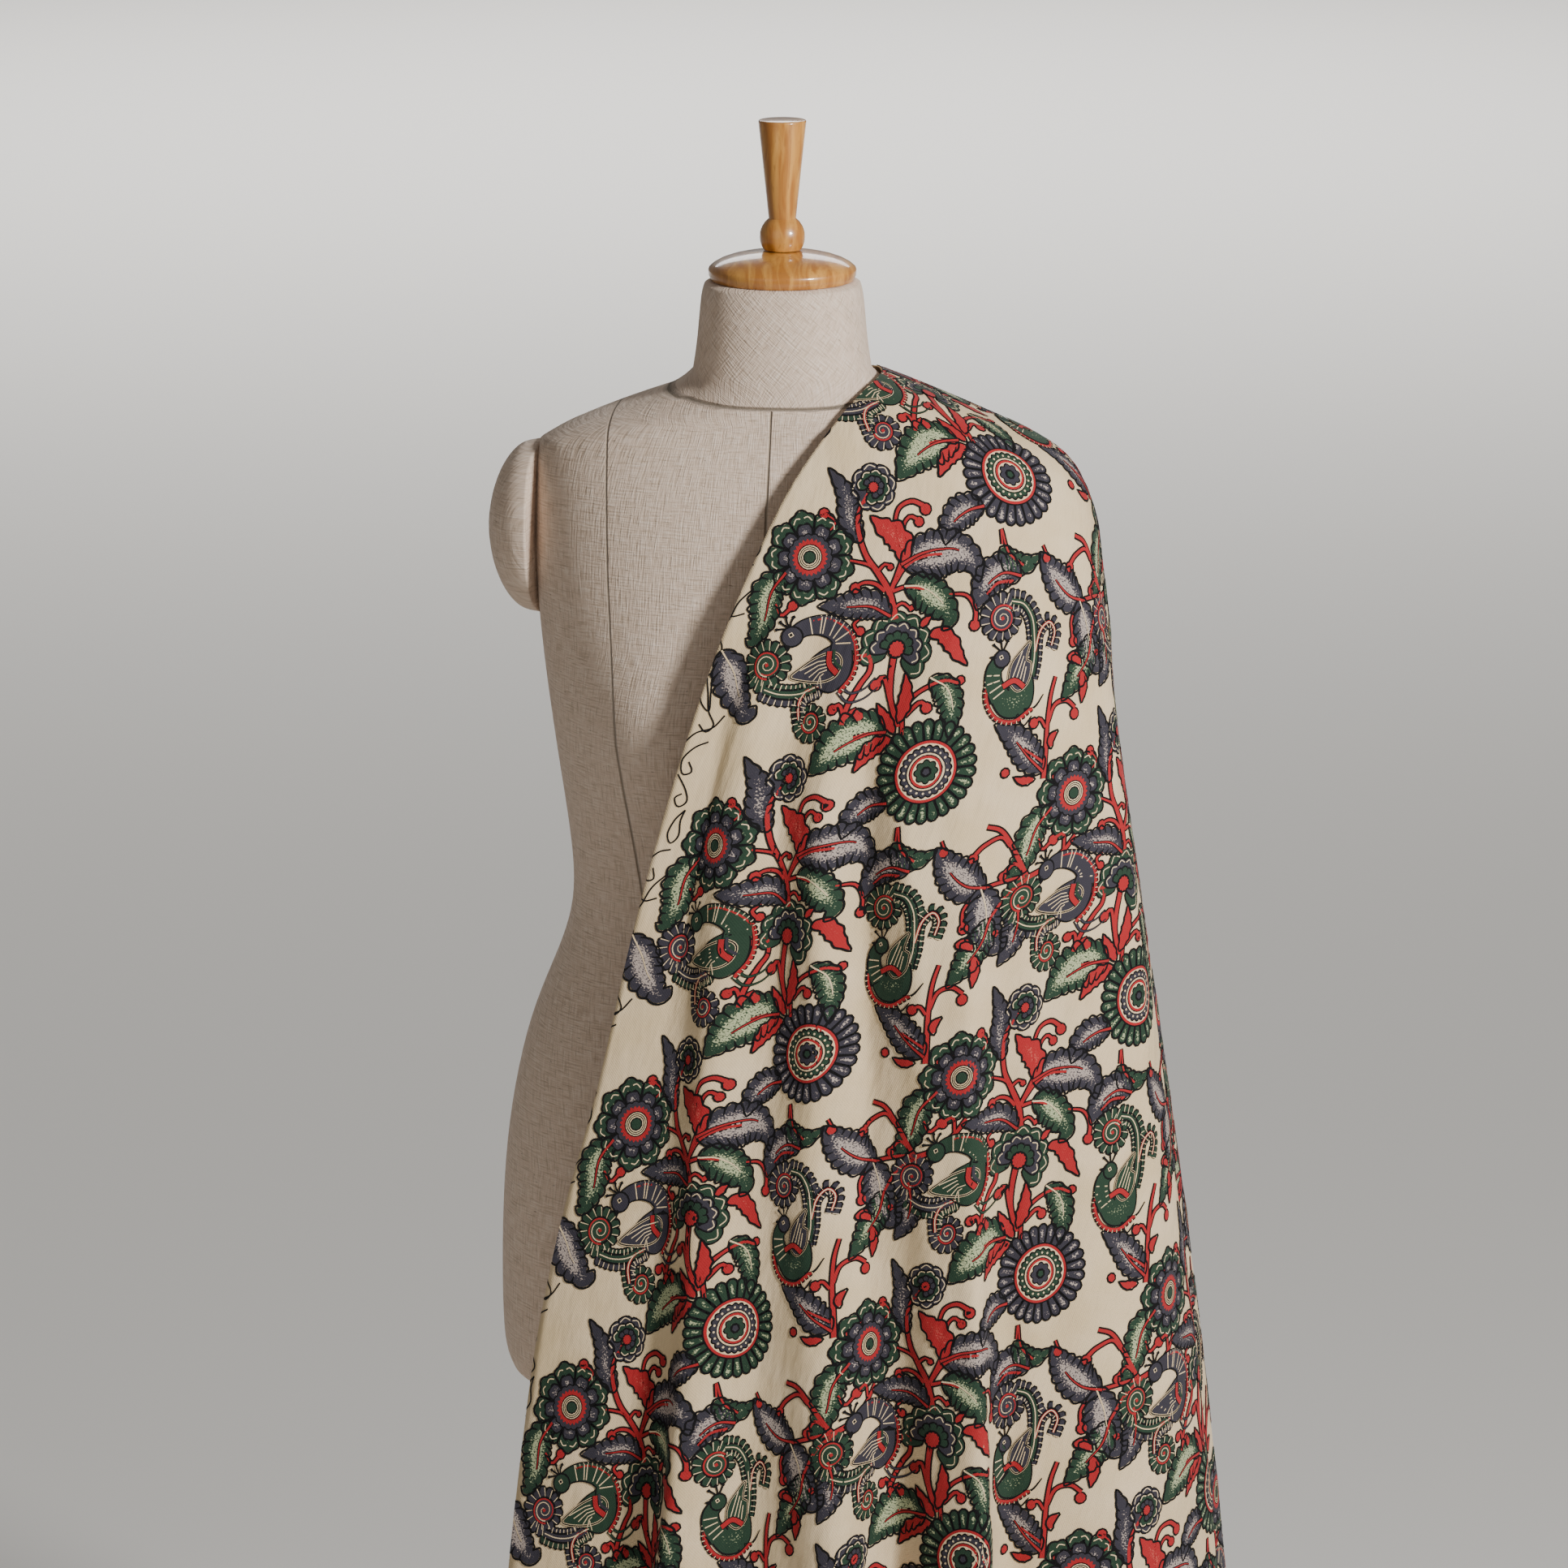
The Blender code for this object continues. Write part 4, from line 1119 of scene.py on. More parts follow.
def inset(outline, distance):
    """Return an outline moved inwards by a distance."""
    turns = outline * np.roll(outline, -1, axis=0)[:, ::-1]
    way = 1.0 if (turns[:, 0] - turns[:, 1]).sum() > 0.0 else -1.0
    return outline + sideways(outline, True) * distance * way


def ring(centre, radius, count=None):
    """Return points round a circle."""
    count = count or max(8, int(math.tau * radius / LINE_SPACING))
    return ways(np.arange(count) / count * math.tau) * radius + centre


def disc(centre, radius, dye, level):
    """Return a filled circle."""
    return [ink_fill(ring(centre, radius), dye, level, 0.0)]


def edged_disc(centre, outer, inner, dye, level):
    """Return a filled circle with a black edge."""
    return disc(centre, outer, "black", level) + disc(centre, inner, dye, level + 1)


def toothed_disc(centre, radius, depth, teeth, dye, level, rounded=False):
    """Return a filled circle with a toothed or a scalloped rim."""
    steps = np.arange(teeth * 4)
    angles = steps / len(steps) * math.tau
    if rounded:
        rim = radius - depth * (1.0 - np.abs(np.sin(angles * teeth / 2.0)))
    else:
        rim = radius - depth * np.abs(1.0 - (steps % 4) / 2.0)
    return [ink_fill(ways(angles) * rim[:, None] + centre, dye, level, 0.0, False)]


def outlined(outline, dye, gap=GAP, level=2, heart=1.0):
    """Return an area with a black outline and a thin line of ground inside it."""
    curve = even_outline(np.asarray(outline, float))
    return [ink_line(curve, LINE_WIDTH, "black", level + 1, True),
            ink_fill(inset(curve, gap), dye, level, heart)]


def edged_line(stops, outer, inner, dye, level):
    """Return a smooth line with black edges."""
    curve = smooth_curve(stops)
    return [ink_line(curve, outer, "black", level), ink_line(curve, inner, dye, level + 1)]


def stem(stops, start, end):
    """Return a red stem with black edges."""
    start, end = start * STEM_SHARE, end * STEM_SHARE
    edge = 2.0 * STEM_EDGE
    return edged_line(stops, (start + edge, end + edge), (start, end), "red", 2)


def ball(place, radius):
    """Return a round red bud with a black edge."""
    radius *= BALL_SHARE
    return edged_disc(place, radius + STEM_EDGE, radius, "red", 2)


# How deep the lobes of a petal's rim are, half of one lobe in radians, and how wide a petal's
# foot is, as shares
LOBE_DEPTH = 0.13
LOBE_TURN = 1.571
PETAL_FOOT = (0.85, -0.85)


def petals(centre, count, inner, outer, dye, gap, start, lobes, flat, heart):
    """Return a ring of petals with black edges."""
    marks = []
    half = math.pi / count
    share = np.linspace(-1.0, 1.0, 13)
    reach = outer - (outer - inner) * flat * np.abs(share) ** 3.0
    if lobes > 1:
        notch = 1.0 - np.abs(np.cos(share * lobes * LOBE_TURN))
        reach -= (outer - inner) * LOBE_DEPTH * notch
    for petal in range(count):
        middle = math.tau * petal / count + math.radians(start)
        rim = ways(middle + share * half) * reach[:, None]
        base = ways(middle + half * np.array(PETAL_FOOT)) * inner
        marks += outlined(np.concatenate([rim, base]) + centre, dye, gap, 2, heart)
    return marks


def leaf_sides(curve, left, right, swell):
    """Return a leaf's left and right edges and its outline."""
    side = sideways(curve)
    left = curve + side * (left * swell)[:, None]
    right = curve - side * (right * swell)[:, None]
    return left, right, np.concatenate([left[1:-1], curve[-1:], right[1:-1][::-1], curve[:1]])


def leaf(rib, width, dye, teeth, vein, gap=0.9, share=0.62, lean=0.15):
    """Return a broad leaf with scalloped edges, hatched lobes and a vein from its base."""
    curve = smooth_curve(rib, spacing=1.2)
    count = len(curve)
    along = np.linspace(0.0, 1.0, count)
    swell = np.sin(math.pi * np.minimum(along ** 0.72, 1.0)) ** 0.8
    lobes = 0.80 + 0.20 * np.abs(np.sin(math.pi * along * teeth))
    left, right, outline = leaf_sides(curve, width * (1.0 + lean) / 2.0,
                                      width * (1.0 - lean) / 2.0, swell * lobes)
    marks = [ink_line(even_outline(outline, 1.6), LINE_WIDTH, "black", 4, True),
             ink_fill(inset(even_outline(outline, 1.8), gap), dye, 2)]
    for edge in (left, right):
        for lobe in range(1, teeth):
            at = int(round((lobe - 0.03) / teeth * (count - 1)))
            if swell[at] > 0.45:
                root = edge[at] + (curve[max(at - 4, 0)] - edge[at]) * 0.42
                marks.append(ink_line([root, edge[at]], (0.5, 1.6), "black", 5))
    line = even_points(curve[:max(int(share * count), 3)])
    if vein == "red":
        marks += [ink_line(line, (3.4, 1.6), "black", 5), ink_line(line, (1.8, 0.5), "red", 6)]
    elif vein:
        marks.append(ink_line(line, (1.2, 0.5), vein, 5))
    return marks


def flame_leaf(rib, width):
    """Return a red leaf with a forked, hooked edge."""
    curve = smooth_curve(rib, spacing=1.6)
    along = np.linspace(0.0, 1.0, len(curve))
    swell = np.sin(math.pi * along ** 0.8) ** 0.9 * (0.72 + 0.28 * np.sin(along * 15.0) ** 2)
    *_, outline = leaf_sides(curve, width * 0.46, width * 0.38, swell)
    return outlined(outline, "red", 0.6, 3)


# A feather's outline: how far along its row and how far out each point is, as shares
FEATHER = ((-0.50, -0.1), (-0.68, 0.45), (-0.66, 0.8), (-0.34, 0.97), (0.0, 1.0),
           (0.34, 0.97), (0.66, 0.8), (0.68, 0.45), (0.50, -0.1))


def feathers(curve, reach, dye, side=1.0, spread=4.0, level=3, flare=1.0):
    """Return a row of small round-ended feathers that stand off one side of a curve."""
    stations = even_points(curve, spacing=spread)
    out = sideways(stations) * side
    along = np.column_stack([out[:, 1], -out[:, 0]]) * side * spread
    reaches = np.interp(np.linspace(0.0, 1.0, len(stations)), np.linspace(0.0, 1.0, len(reach)),
                        reach)
    marks = []
    shape = np.array(FEATHER)
    shape[1:-1, 0] *= flare
    for place, away, ahead, size in zip(stations, out, along, reaches):
        points = place + shape[:, :1] * ahead + shape[:, 1:] * away * size
        small = place + shape[:, :1] * ahead * 0.70 + shape[:, 1:] * away * (size - 1.1)
        parting = place + ahead * 0.5 + away * size * np.array([[0.15], [0.8]])
        marks += [ink_fill(points, "black", level - 1, 0.0), ink_fill(small, dye, level, 0.0),
                  ink_line(parting, (0.4, 0.7), "cream", level + 1)]
    return marks


def tail_scroll(centre, radius, start, turns, way, dye, reach):
    """Return a coiled tail: feathers round a spiral with red and cream lines inside."""
    centre = np.array(centre)
    share = np.linspace(0.0, 1.0, 40)
    start = math.radians(start)
    rim = ways(start + way * share * turns * math.tau)
    rim = rim * ((radius - reach) * (1.0 - 0.30 * share))[:, None] + centre
    turns *= 1.5
    share = np.linspace(0.0, 1.0, int(turns * 16) + 2)
    curl = ways(start + way * share * turns * math.tau)
    curl = curl * ((radius - reach) * 0.82 * (1.0 - 0.85 * share))[:, None] + centre
    return [*edged_disc(centre, radius - reach + 0.6, radius - reach - 1.0, dye, 4),
            *feathers(rim, (reach, reach * 0.8), dye, -way, 3.7, 3, 1.45),
            ink_line(even_points(rim), (1.3, 0.9), "red", 6),
            ink_line(even_points(curl), (FINE_LINE, FINE_LINE * 0.6), "cream", 6),
            *disc(centre, 1.6, "red", 7)]


def tail(stops, left, left_dye, right, right_dye, widths, dye):
    """Return a tail: a band with black edges, a line of ground and feathers both ways."""
    curve = smooth_curve(stops)
    outer = tuple(width + 3.0 for width in widths)
    return [*feathers(curve, left, left_dye, 1.0), *feathers(curve, right, right_dye, -1.0),
            *edged_line(stops, outer, widths, dye, 4), ink_line(curve, FINE_LINE, "cream", 6)]


def petal_outline(half, along, aside):
    """Return a petal's outline from the points of one half, from its root to its tip."""
    rows = (*half, *[(reach, -wide) for reach, wide in half[::-1] if wide])
    return np.array([along * reach + aside * wide for reach, wide in rows])


RING = namedtuple("RING", "radius dye level teeth depth rounded", defaults=(0, 0.0, False))
NINE_PETAL_RINGS = (
    RING(16.6, "black", 6, 18, 1.2, True), RING(15.6, "inside", 7, 18, 1.2, True),
    RING(12.8, "red", 8, 24, 1.9), RING(9.0, "black", 9), RING(8.2, "cream", 10),
    RING(4.9, "black", 11), RING(4.0, "outside", 12),
)
SUNFLOWER_RINGS = (
    RING(21.6, "black", 5), RING(20.7, "red", 6), RING(18.9, "cream", 7),
    RING(18.2, "black", 8, 22, 1.4, True), RING(17.0, "inside", 9, 22, 1.4, True),
    RING(13.2, "black", 10), RING(12.6, "cream", 11), RING(11.5, "black", 12),
    RING(10.8, "red", 13), RING(9.2, "cream", 14), RING(8.6, "black", 15, 8, 1.6, True),
    RING(7.6, "outside", 16, 8, 1.6, True), RING(4.0, "black", 17), RING(2.6, "inside", 18),
)


def flower_rings(centre, rows, inside_dye, outside_dye):
    """Return plain and toothed discs that lie one on another."""
    marks = []
    for row in rows:
        dye = {"inside": inside_dye, "outside": outside_dye}.get(row.dye, row.dye)
        if row.teeth:
            marks += toothed_disc(centre, row.radius, row.depth, row.teeth, dye, row.level,
                                  row.rounded)
        else:
            marks += disc(centre, row.radius, dye, row.level)
    return marks


NINE_PETAL_HEART = ((13.0, 3.2), (16.5, 4.6), (20.0, 4.6), (22.8, 2.4), (21.4, 0.0))
NINE_PETAL_ARC = ((24.0, 6.8), (27.4, 4.4), (27.0, 1.4))


def nine_petal_flower(centre, inside_dye, outside_dye):
    """Return the flower of nine lobed petals round toothed rings."""
    marks = petals(centre, 9, 12.0, 33.0, outside_dye, 0.7, 4.0, 2, 0.26, 0.5)
    for petal in range(9):
        way = ways([math.radians(4.0) + math.tau * petal / 9])[0]
        side = np.array([-way[1], way[0]])
        shape = smooth_curve(petal_outline(NINE_PETAL_HEART, way, side) + centre, True, 1.6)
        marks += [ink_line(shape, 2.3, "black", 4, True), ink_fill(shape, inside_dye, 5, 2.0)]
        for lean in (-1.0, 1.0):
            arc = np.array([way * far + side * out * lean for far, out in NINE_PETAL_ARC])
            marks.append(ink_line(smooth_curve(arc + centre, False, 1.6), FINE_LINE, "cream", 5))
    for radius in (7.1, 5.8):
        marks.append(ink_line(ring(centre, radius), 0.7, "black", 11, True))
    return marks + flower_rings(centre, NINE_PETAL_RINGS, inside_dye, outside_dye)


def sunflower(centre, inside_dye, outside_dye):
    """Return the flower of many round petals round rings and a small rosette."""
    marks = petals(centre, 26, 19.0, 35.0, outside_dye, 0.5, 0.0, 1, 0.22, 3.6)
    for dot in ring(centre, 14.6, 20):
        marks += toothed_disc(dot, 0.8, 0.0, 2, "cream", 10)
    return marks + flower_rings(centre, SUNFLOWER_RINGS, inside_dye, outside_dye)


# A side flower's lobe and its pale arc: how far out and how wide each point is, as shares
LOBE = ((0.30, 0.6), (0.68, 1.0), (0.90, 0.9), (1.0, 0.0))
LOBE_ARC = ((0.76, 0.66), (0.90, 0.0))
LOBE_ROWS = (1.0, 0.74, 0.50)


def fan_flower(root, reach, first, last, count, inside_dye, outside_dye):
    """Return a flower seen from the side: rows of lobes that overlap over a toothed cup."""
    marks = []
    for row, size in enumerate(LOBE_ROWS):
        dye = inside_dye if row == 1 else outside_dye
        level = 2 + 3 * row
        far = reach * size
        half = 0.47 * far * math.radians(last - first) / (count - 1)
        for step in range(count - row):
            turn = math.radians(first + (last - first) * (step + 0.5 * row) / (count - 1))
            way = ways([turn])[0]
            side = np.array([-way[1], way[0]])
            shape = smooth_curve(petal_outline(LOBE, way * far, side * half) + root, True, 1.8)
            marks += [ink_fill(shape, "black", level, 0.0),
                      ink_fill(inset(shape, 1.1), dye, level + 1, 0.4)]
            if row < 2:
                arc = petal_outline(LOBE_ARC, way * far, side * half) + root
                marks.append(ink_line(smooth_curve(arc, False, 1.6), 0.7, "cream", level + 2))
    return (marks + disc(root, reach * 0.26, "black", 11)
            + toothed_disc(root, reach * 0.21, 0.8, 12, "red", 12))


# ---- the parts of a bird ----

def body(stops, edge, gap, dye, heart):
    """Return a bird's body with a thin black edge."""
    shape = smooth_curve(stops, True, 2.0)
    return [ink_line(shape, edge, "black", 6, True), ink_fill(inset(shape, gap), dye, 5, heart)]


def red_comb(stops, reach, way, spread, outer, inner, level):
    """Return a red line with black edges and short red feathers on one side."""
    return (feathers(smooth_curve(stops), (reach, reach), "red", way, spread, level)
            + edged_line(stops, outer, inner, "red", level))


def neck(stops, outer, inner, dye, bars, half):
    """Return a neck with black edges and pale bars."""
    curve = smooth_curve(stops)
    marks = edged_line(stops, outer, inner, dye, 7)
    for share in bars:
        at = int(share * (len(curve) - 1))
        away = sideways(curve)[at] * half
        marks.append(ink_line([curve[at] - away, curve[at] + away], FINE_LINE, "cream", 9))
    return marks


def head(centre, radius, dye, eye, eye_radius, pupil, beak):
    """Return a head with its eye and its beak."""
    return (edged_disc(centre, radius + 1.2, radius, dye, 9) + disc(eye, eye_radius, "cream", 11)
            + disc(eye, pupil, "black", 12) + [ink_fill(np.array(beak), "black", 10, 0.0)])


def bent_line(start, tip, bend):
    """Return a line from start to tip, with its middle moved if it is bent."""
    start, tip = np.array(start), np.array(tip)
    return np.array([start, (start + tip) / 2.0 + bend, tip] if bend else [start, tip])


def crest(root, tips, widths, knob, bend=None):
    """Return thin plumes with a round end each."""
    marks = []
    for tip in tips:
        line = bent_line(root, tip, bend)
        marks.append(ink_line(smooth_curve(line) if bend else line, widths, "black", 8))
        marks += disc(tip, knob, "black", 9)
    return marks


QUILLS = namedtuple("QUILLS", "count start start_step tip tip_step bend")


def wing(stops, edge, dye, heart, quills):
    """Return a wing with a pale and a black edge and pale quills."""
    shape = smooth_curve(stops, True, 2.0)
    marks = [ink_line(shape, edge, "cream", 9, True), ink_line(shape, 0.9, "black", 10, True),
             ink_fill(inset(shape, 0.8), dye, 9, heart)]
    for step in range(quills.count):
        start = np.array(quills.start) + step * np.array(quills.start_step)
        tip = np.array(quills.tip) + step * np.array(quills.tip_step)
        marks.append(ink_line(bent_line(start, tip, quills.bend), 0.7, "cream", 11))
    return marks


def peacock(inside_dye, outside_dye):
    """Return the peacock that looks back over its shoulder, with its coiled tails."""
    marks = tail_scroll((-7.0, 76.0), 20.5, 70.0, 1.1, 1.0, outside_dye, 11.0)
    marks += tail([(-3.0, 92.0), (8.0, 93.0), (20.0, 90.0), (31.0, 82.0)],
                  (9.0, 9.5), inside_dye, (8.0, 8.0), outside_dye, (4.4, 5.6), outside_dye)
    marks += tail_scroll((36.0, 105.0), 16.0, 150.0, 1.0, -1.0, outside_dye, 8.5)
    marks += tail([(33.0, 81.0), (24.0, 88.0), (22.0, 97.0), (26.0, 107.0)],
                  (7.0, 6.0), outside_dye, (8.0, 8.0), inside_dye, (2.4, 2.0), "red")
    marks += body([(30.0, 82.0), (22.0, 76.0), (20.0, 68.0), (27.0, 58.0), (38.0, 50.0),
                   (47.0, 50.0), (52.0, 60.0), (52.0, 72.0), (44.0, 82.0)],
                  1.0, 0.5, inside_dye, 0.4)
    marks += red_comb([(12.0, 42.0), (22.0, 37.5), (34.0, 38.0), (46.0, 44.0), (53.0, 56.0),
                       (54.0, 68.0), (50.0, 79.0)], 3.2, -1.0, 3.4, 2.2, 1.3, 7)
    marks += neck([(42.0, 54.0), (39.0, 46.0), (30.0, 42.0), (19.0, 42.5), (10.0, 46.5),
                   (5.0, 52.0)], (19.0, 15.5, 11.0), (16.6, 13.2, 9.0), inside_dye,
                  (0.12, 0.2, 0.34, 0.42, 0.56, 0.64, 0.78), 5.6)
    marks += head((3.5, 54.0), 6.4, inside_dye, (2.6, 53.0), 2.0, 1.3,
                  [(0.5, 59.0), (5.0, 60.0), (3.6, 65.5), (1.4, 62.5)])
    marks += crest((1.5, 49.0), ((-7.0, 46.5), (-4.0, 42.5), (1.0, 41.0), (-8.0, 52.0)),
                   (1.0, 1.6), 1.5, (-1.0, 0.0))
    marks += wing([(44.0, 60.0), (36.0, 57.0), (24.0, 64.0), (15.0, 73.0), (10.0, 81.0),
                   (22.0, 81.0), (36.0, 77.0), (44.0, 70.0)], 1.7, inside_dye, 0.3,
                  QUILLS(6, (40.0, 60.0), (-1.5, 3.0), (15.0, 75.0), (4.2, 1.3), (-1.0, -1.5)))
    marks += edged_line([(33.0, 57.0), (36.0, 65.0), (44.0, 69.0)], 5.2, 3.8, "red", 12)
    marks.append(ink_line(smooth_curve([(36.0, 55.0), (39.0, 62.0), (46.0, 65.0)]), 2.0,
                          outside_dye, 13))
    for foot in (((50.0, 76.0), (58.0, 79.0), (66.0, 74.0), (70.0, 66.0)),
                 ((49.0, 80.0), (58.0, 85.0), (67.0, 81.0), (74.0, 72.0))):
        marks += edged_line(foot, (2.6, 1.0), (1.6, 0.4), inside_dye, 5)
    return marks


def raised_tail_bird(inside_dye, outside_dye):
    """Return the bird with its coiled tail raised over its back."""
    marks = tail_scroll((144.0, 8.0), 19.0, -60.0, 1.1, -1.0, outside_dye, 10.0)
    marks += tail([(147.0, -4.5), (157.0, -5.0), (166.0, 2.0), (172.0, 13.0), (177.0, 26.0),
                   (179.0, 38.0)],
                  (7.5, 6.0), outside_dye, (9.0, 7.0), outside_dye, (3.6, 5.4), inside_dye)
    marks += tail([(176.0, 22.0), (175.0, 8.0), (180.0, 0.0), (187.0, 4.0), (188.0, 14.0)],
                  (5.0, 5.0), outside_dye, (7.5, 7.0), outside_dye, (2.0, 1.6), "red")
    marks += body([(154.0, 44.0), (160.0, 50.0), (170.0, 46.0), (177.0, 36.0), (184.0, 44.0),
                   (186.0, 56.0), (178.0, 66.0), (166.0, 68.0), (155.0, 60.0), (151.0, 50.0)],
                  1.2, 0.4, inside_dye, 0.5)
    marks += red_comb([(148.0, 48.0), (152.0, 61.0), (163.0, 70.0), (177.0, 69.0),
                       (187.0, 58.0)], 3.0, 1.0, 3.6, 2.8, 1.8, 6)
    marks += neck([(161.0, 57.0), (153.0, 50.0), (150.0, 41.0), (153.0, 34.0)], (16.0, 11.0),
                  (13.6, 8.8), inside_dye, (0.15, 0.3, 0.45, 0.6), 4.6)
    marks += head((153.0, 33.0), 5.4, outside_dye, (152.0, 32.2), 1.8, 1.0,
                  [(149.0, 31.0), (148.5, 35.5), (142.5, 34.5)])
    marks += crest((152.0, 29.0), ((148.0, 22.0), (153.0, 21.0), (144.0, 26.0)), (0.9, 1.5), 1.4)
    marks += wing([(172.0, 50.0), (163.0, 45.0), (161.0, 34.0), (165.0, 24.0), (170.0, 16.0),
                   (171.0, 28.0), (176.0, 30.0), (178.0, 42.0)], 1.5, outside_dye, 0.4,
                  QUILLS(4, (165.0, 45.0), (3.2, 1.0), (166.0, 24.0), (2.2, 3.0), None))
    marks += edged_line([(160.0, 50.0), (167.0, 44.0), (176.0, 46.0)], 4.8, 3.4, "red", 12)
    for foot in (((178.0, 64.0), (186.0, 70.0), (190.0, 62.0)),
                 ((182.0, 60.0), (190.0, 56.0), (194.0, 46.0))):
        marks.append(ink_line(smooth_curve(foot), (2.2, 0.8), "black", 5))
    return marks


STEM = namedtuple("STEM", "stops start end")
STEMS = [STEM(*row) for row in (
    (((71, 26), (61, 10), (50, 0), (38, -10), (29, -25), (27, -37), (31, -50)), 5.6, 3.2),
    (((50, 0), (42, -4), (28, -4)), 2.8, 1.6),
    (((58, 10), (50, 7), (42, 8), (37, 12)), 3.4, 2.2),
    (((49, -1), (53, -7), (57, -6)), 2.4, 1.8),
    (((62, 9), (63, -2), (64, -12)), 3.8, 2.8),
    (((64, -14), (55, -30), (54, -44), (62, -51), (71, -50)), 1.2, 3.8),
    (((64, -24), (60, -34), (63, -41), (69, -40)), 1.2, 3.0),
    (((62, 6), (67, -8), (77, -17), (90, -22)), 3.4, 2.2),
    (((63, 9), (72, 4), (84, 3)), 3.0, 2.0),
    (((102, 2), (114, 0), (123, 7), (126, 16)), 1.4, 3.6),
    (((67, 20), (72, 15), (78, 17)), 2.4, 1.8),
    (((47, 30), (44, 36), (49, 40)), 2.2, 2.8),
    (((77, 46), (81, 64), (87, 78), (99, 92)), 5.2, 4.2),
    (((60, 100), (59, 88), (62, 72), (65, 62), (61, 53), (55, 55)), 4.0, 3.2),
    (((60, 96), (54, 88), (50, 91)), 2.4, 3.0),
    (((60, 97), (64, 89), (68, 92)), 2.4, 3.0),
    (((86, 78), (76, 65), (72, 70)), 2.8, 3.6),
    (((104, 96), (99, 82), (103, 68), (117, 56), (128, 55)), 3.2, 2.4),
    (((101, 84), (107, 73), (113, 74)), 2.6, 3.2),
    (((98, 104), (84, 101), (70, 107)), 3.4, 2.2),
    (((-15, 36), (-8, 42), (-3, 36)), 1.8, 3.0),
    (((8, -18), (12, -27), (3, -31)), 1.2, 1.4),
    (((219, 98), (213, 82), (206, 64), (201, 46), (200, 32)), 5.0, 2.6),
    (((206, 62), (207, 50), (216, 44), (226, 46)), 3.2, 3.0),
    (((205, 66), (198, 62), (194, 66)), 2.4, 2.8),
    (((213, 88), (204, 86), (193, 84)), 2.4, 1.8),
    (((131, -38), (128, -48), (137, -34), (150, -29)), 1.6, 1.8),
    (((202, -14), (201, -6), (206, 4)), 2.0, 3.0),
    (((190, -62), (202, -62), (216, -54), (240, -37)), 3.0, 5.0),
    (((238, -38), (224, -32), (207, -23)), 3.6, 2.6),
    (((240, -37), (230, -24), (225, -6)), 3.8, 2.6),
    (((240, -37), (243, -28), (242, -18)), 3.6, 2.4),
    (((214, -54), (204, -58), (194, -50), (190, -43)), 2.4, 3.6),
    (((236, -40), (224, -44), (219, -36)), 2.4, 3.2),
    (((240, -38), (252, -48), (262, -62), (266, -74)), 4.6, 3.4),
    (((262, -62), (256, -72), (250, -68)), 2.4, 3.0),
    (((145, -17), (134, -13), (128, -4)), 3.0, 1.6),
    (((162, -46), (165, -43), (168, -40)), 1.4, 1.4),
)]
BALL = namedtuple("BALL", "u v radius")
BALLS = [BALL(*row) for row in (
    (37, 13, 4.2), (57, -6, 2.6), (73, -48, 4.4), (70, -39, 3.8),
    (126, 17, 4.2), (79, 17, 2.4), (50, 39, 3.6), (54, 56, 4.0),
    (50, 92, 4.0), (68, 93, 4.0), (72, 71, 4.4), (113, 75, 4.2),
    (129, 53, 3.4), (-2, 34, 4.0), (3, -31, 4.2), (227, 50, 4.4),
    (194, 66, 4.2), (207, 5, 4.4), (235, 3, 3.2), (186, 102, 3.6),
    (167, -39, 3.8), (190, -40, 4.2), (219, -34, 3.8), (250, -66, 3.8),
)]
LEAF = namedtuple("LEAF", "rib width swaps teeth vein")
LEAVES = [LEAF(*row) for row in (
    (((33, -17), (21, -30), (15, -46), (0, -63)), 18.0, True, 8, ""),
    (((64, -9), (78, -20), (98, -27), (114, -22), (121, -10)), 34.0, True, 10, "red"),
    (((70, 4), (82, 2), (97, 7), (108, 17), (105, 26)), 27.0, False, 8, "cream"),
    (((67, 25), (52, 22), (36, 26), (14, 31)), 22.0, True, 9, "red"),
    (((-14, 14), (-21, 30), (-20, 50), (-25, 66), (-31, 64)), 27.0, False, 9, "red"),
    (((-45, 76), (-33, 88), (-24, 100), (-10, 110), (-4, 103)), 31.0, True, 8, "cream"),
    (((92, 98), (76, 105), (62, 118), (50, 138)), 36.0, False, 9, "red"),
    (((108, 56), (122, 60), (131, 72), (137, 91)), 21.0, False, 8, "cream"),
    (((150, -22), (136, -20), (126, -8), (124, 8)), 26.0, True, 8, "red"),
    (((210, -24), (194, -22), (178, -28), (160, -41)), 31.0, True, 9, "red"),
    (((216, 94), (199, 88), (183, 80), (164, 74)), 25.0, True, 8, "red"),
    (((130, -36), (142, -30), (153, -32), (162, -40)), 17.0, False, 5, ""),
    (((225, -6), (226, 10), (220, 26), (212, 46)), 26.0, False, 9, "red"),
    (((242, -19), (250, -6), (252, 8), (247, 24)), 24.0, True, 9, "red"),
    (((113, 141), (102, 147), (93, 158), (91, 172)), 24.0, True, 8, "red"),
)]
FLAME = namedtuple("FLAME", "rib width")
FLAMES = [FLAME(*row) for row in (
    (((64, -10), (62, -20), (54, -27), (46, -30), (35, -36)), 24.0),
    (((97, 32), (105, 27), (114, 31), (122, 38), (131, 43)), 16.0),
    (((89, 28), (92, 22), (95, 17)), 8.0),
    (((98, 100), (92, 106), (84, 115), (79, 130)), 17.0),
    (((99, 97), (92, 93), (84, 88), (77, 82)), 12.0),
    (((98, 90), (97, 78), (95, 68), (90, 57)), 14.0),
    (((205, 17), (214, 14), (222, 18)), 12.0),
    (((222, 20), (228, 28), (231, 42)), 13.0),
    (((217, 78), (213, 72), (218, 64)), 9.0),
    (((225, 96), (238, 88), (243, 76)), 11.0),
    (((212, 100), (202, 104), (193, 103)), 9.0),
)]
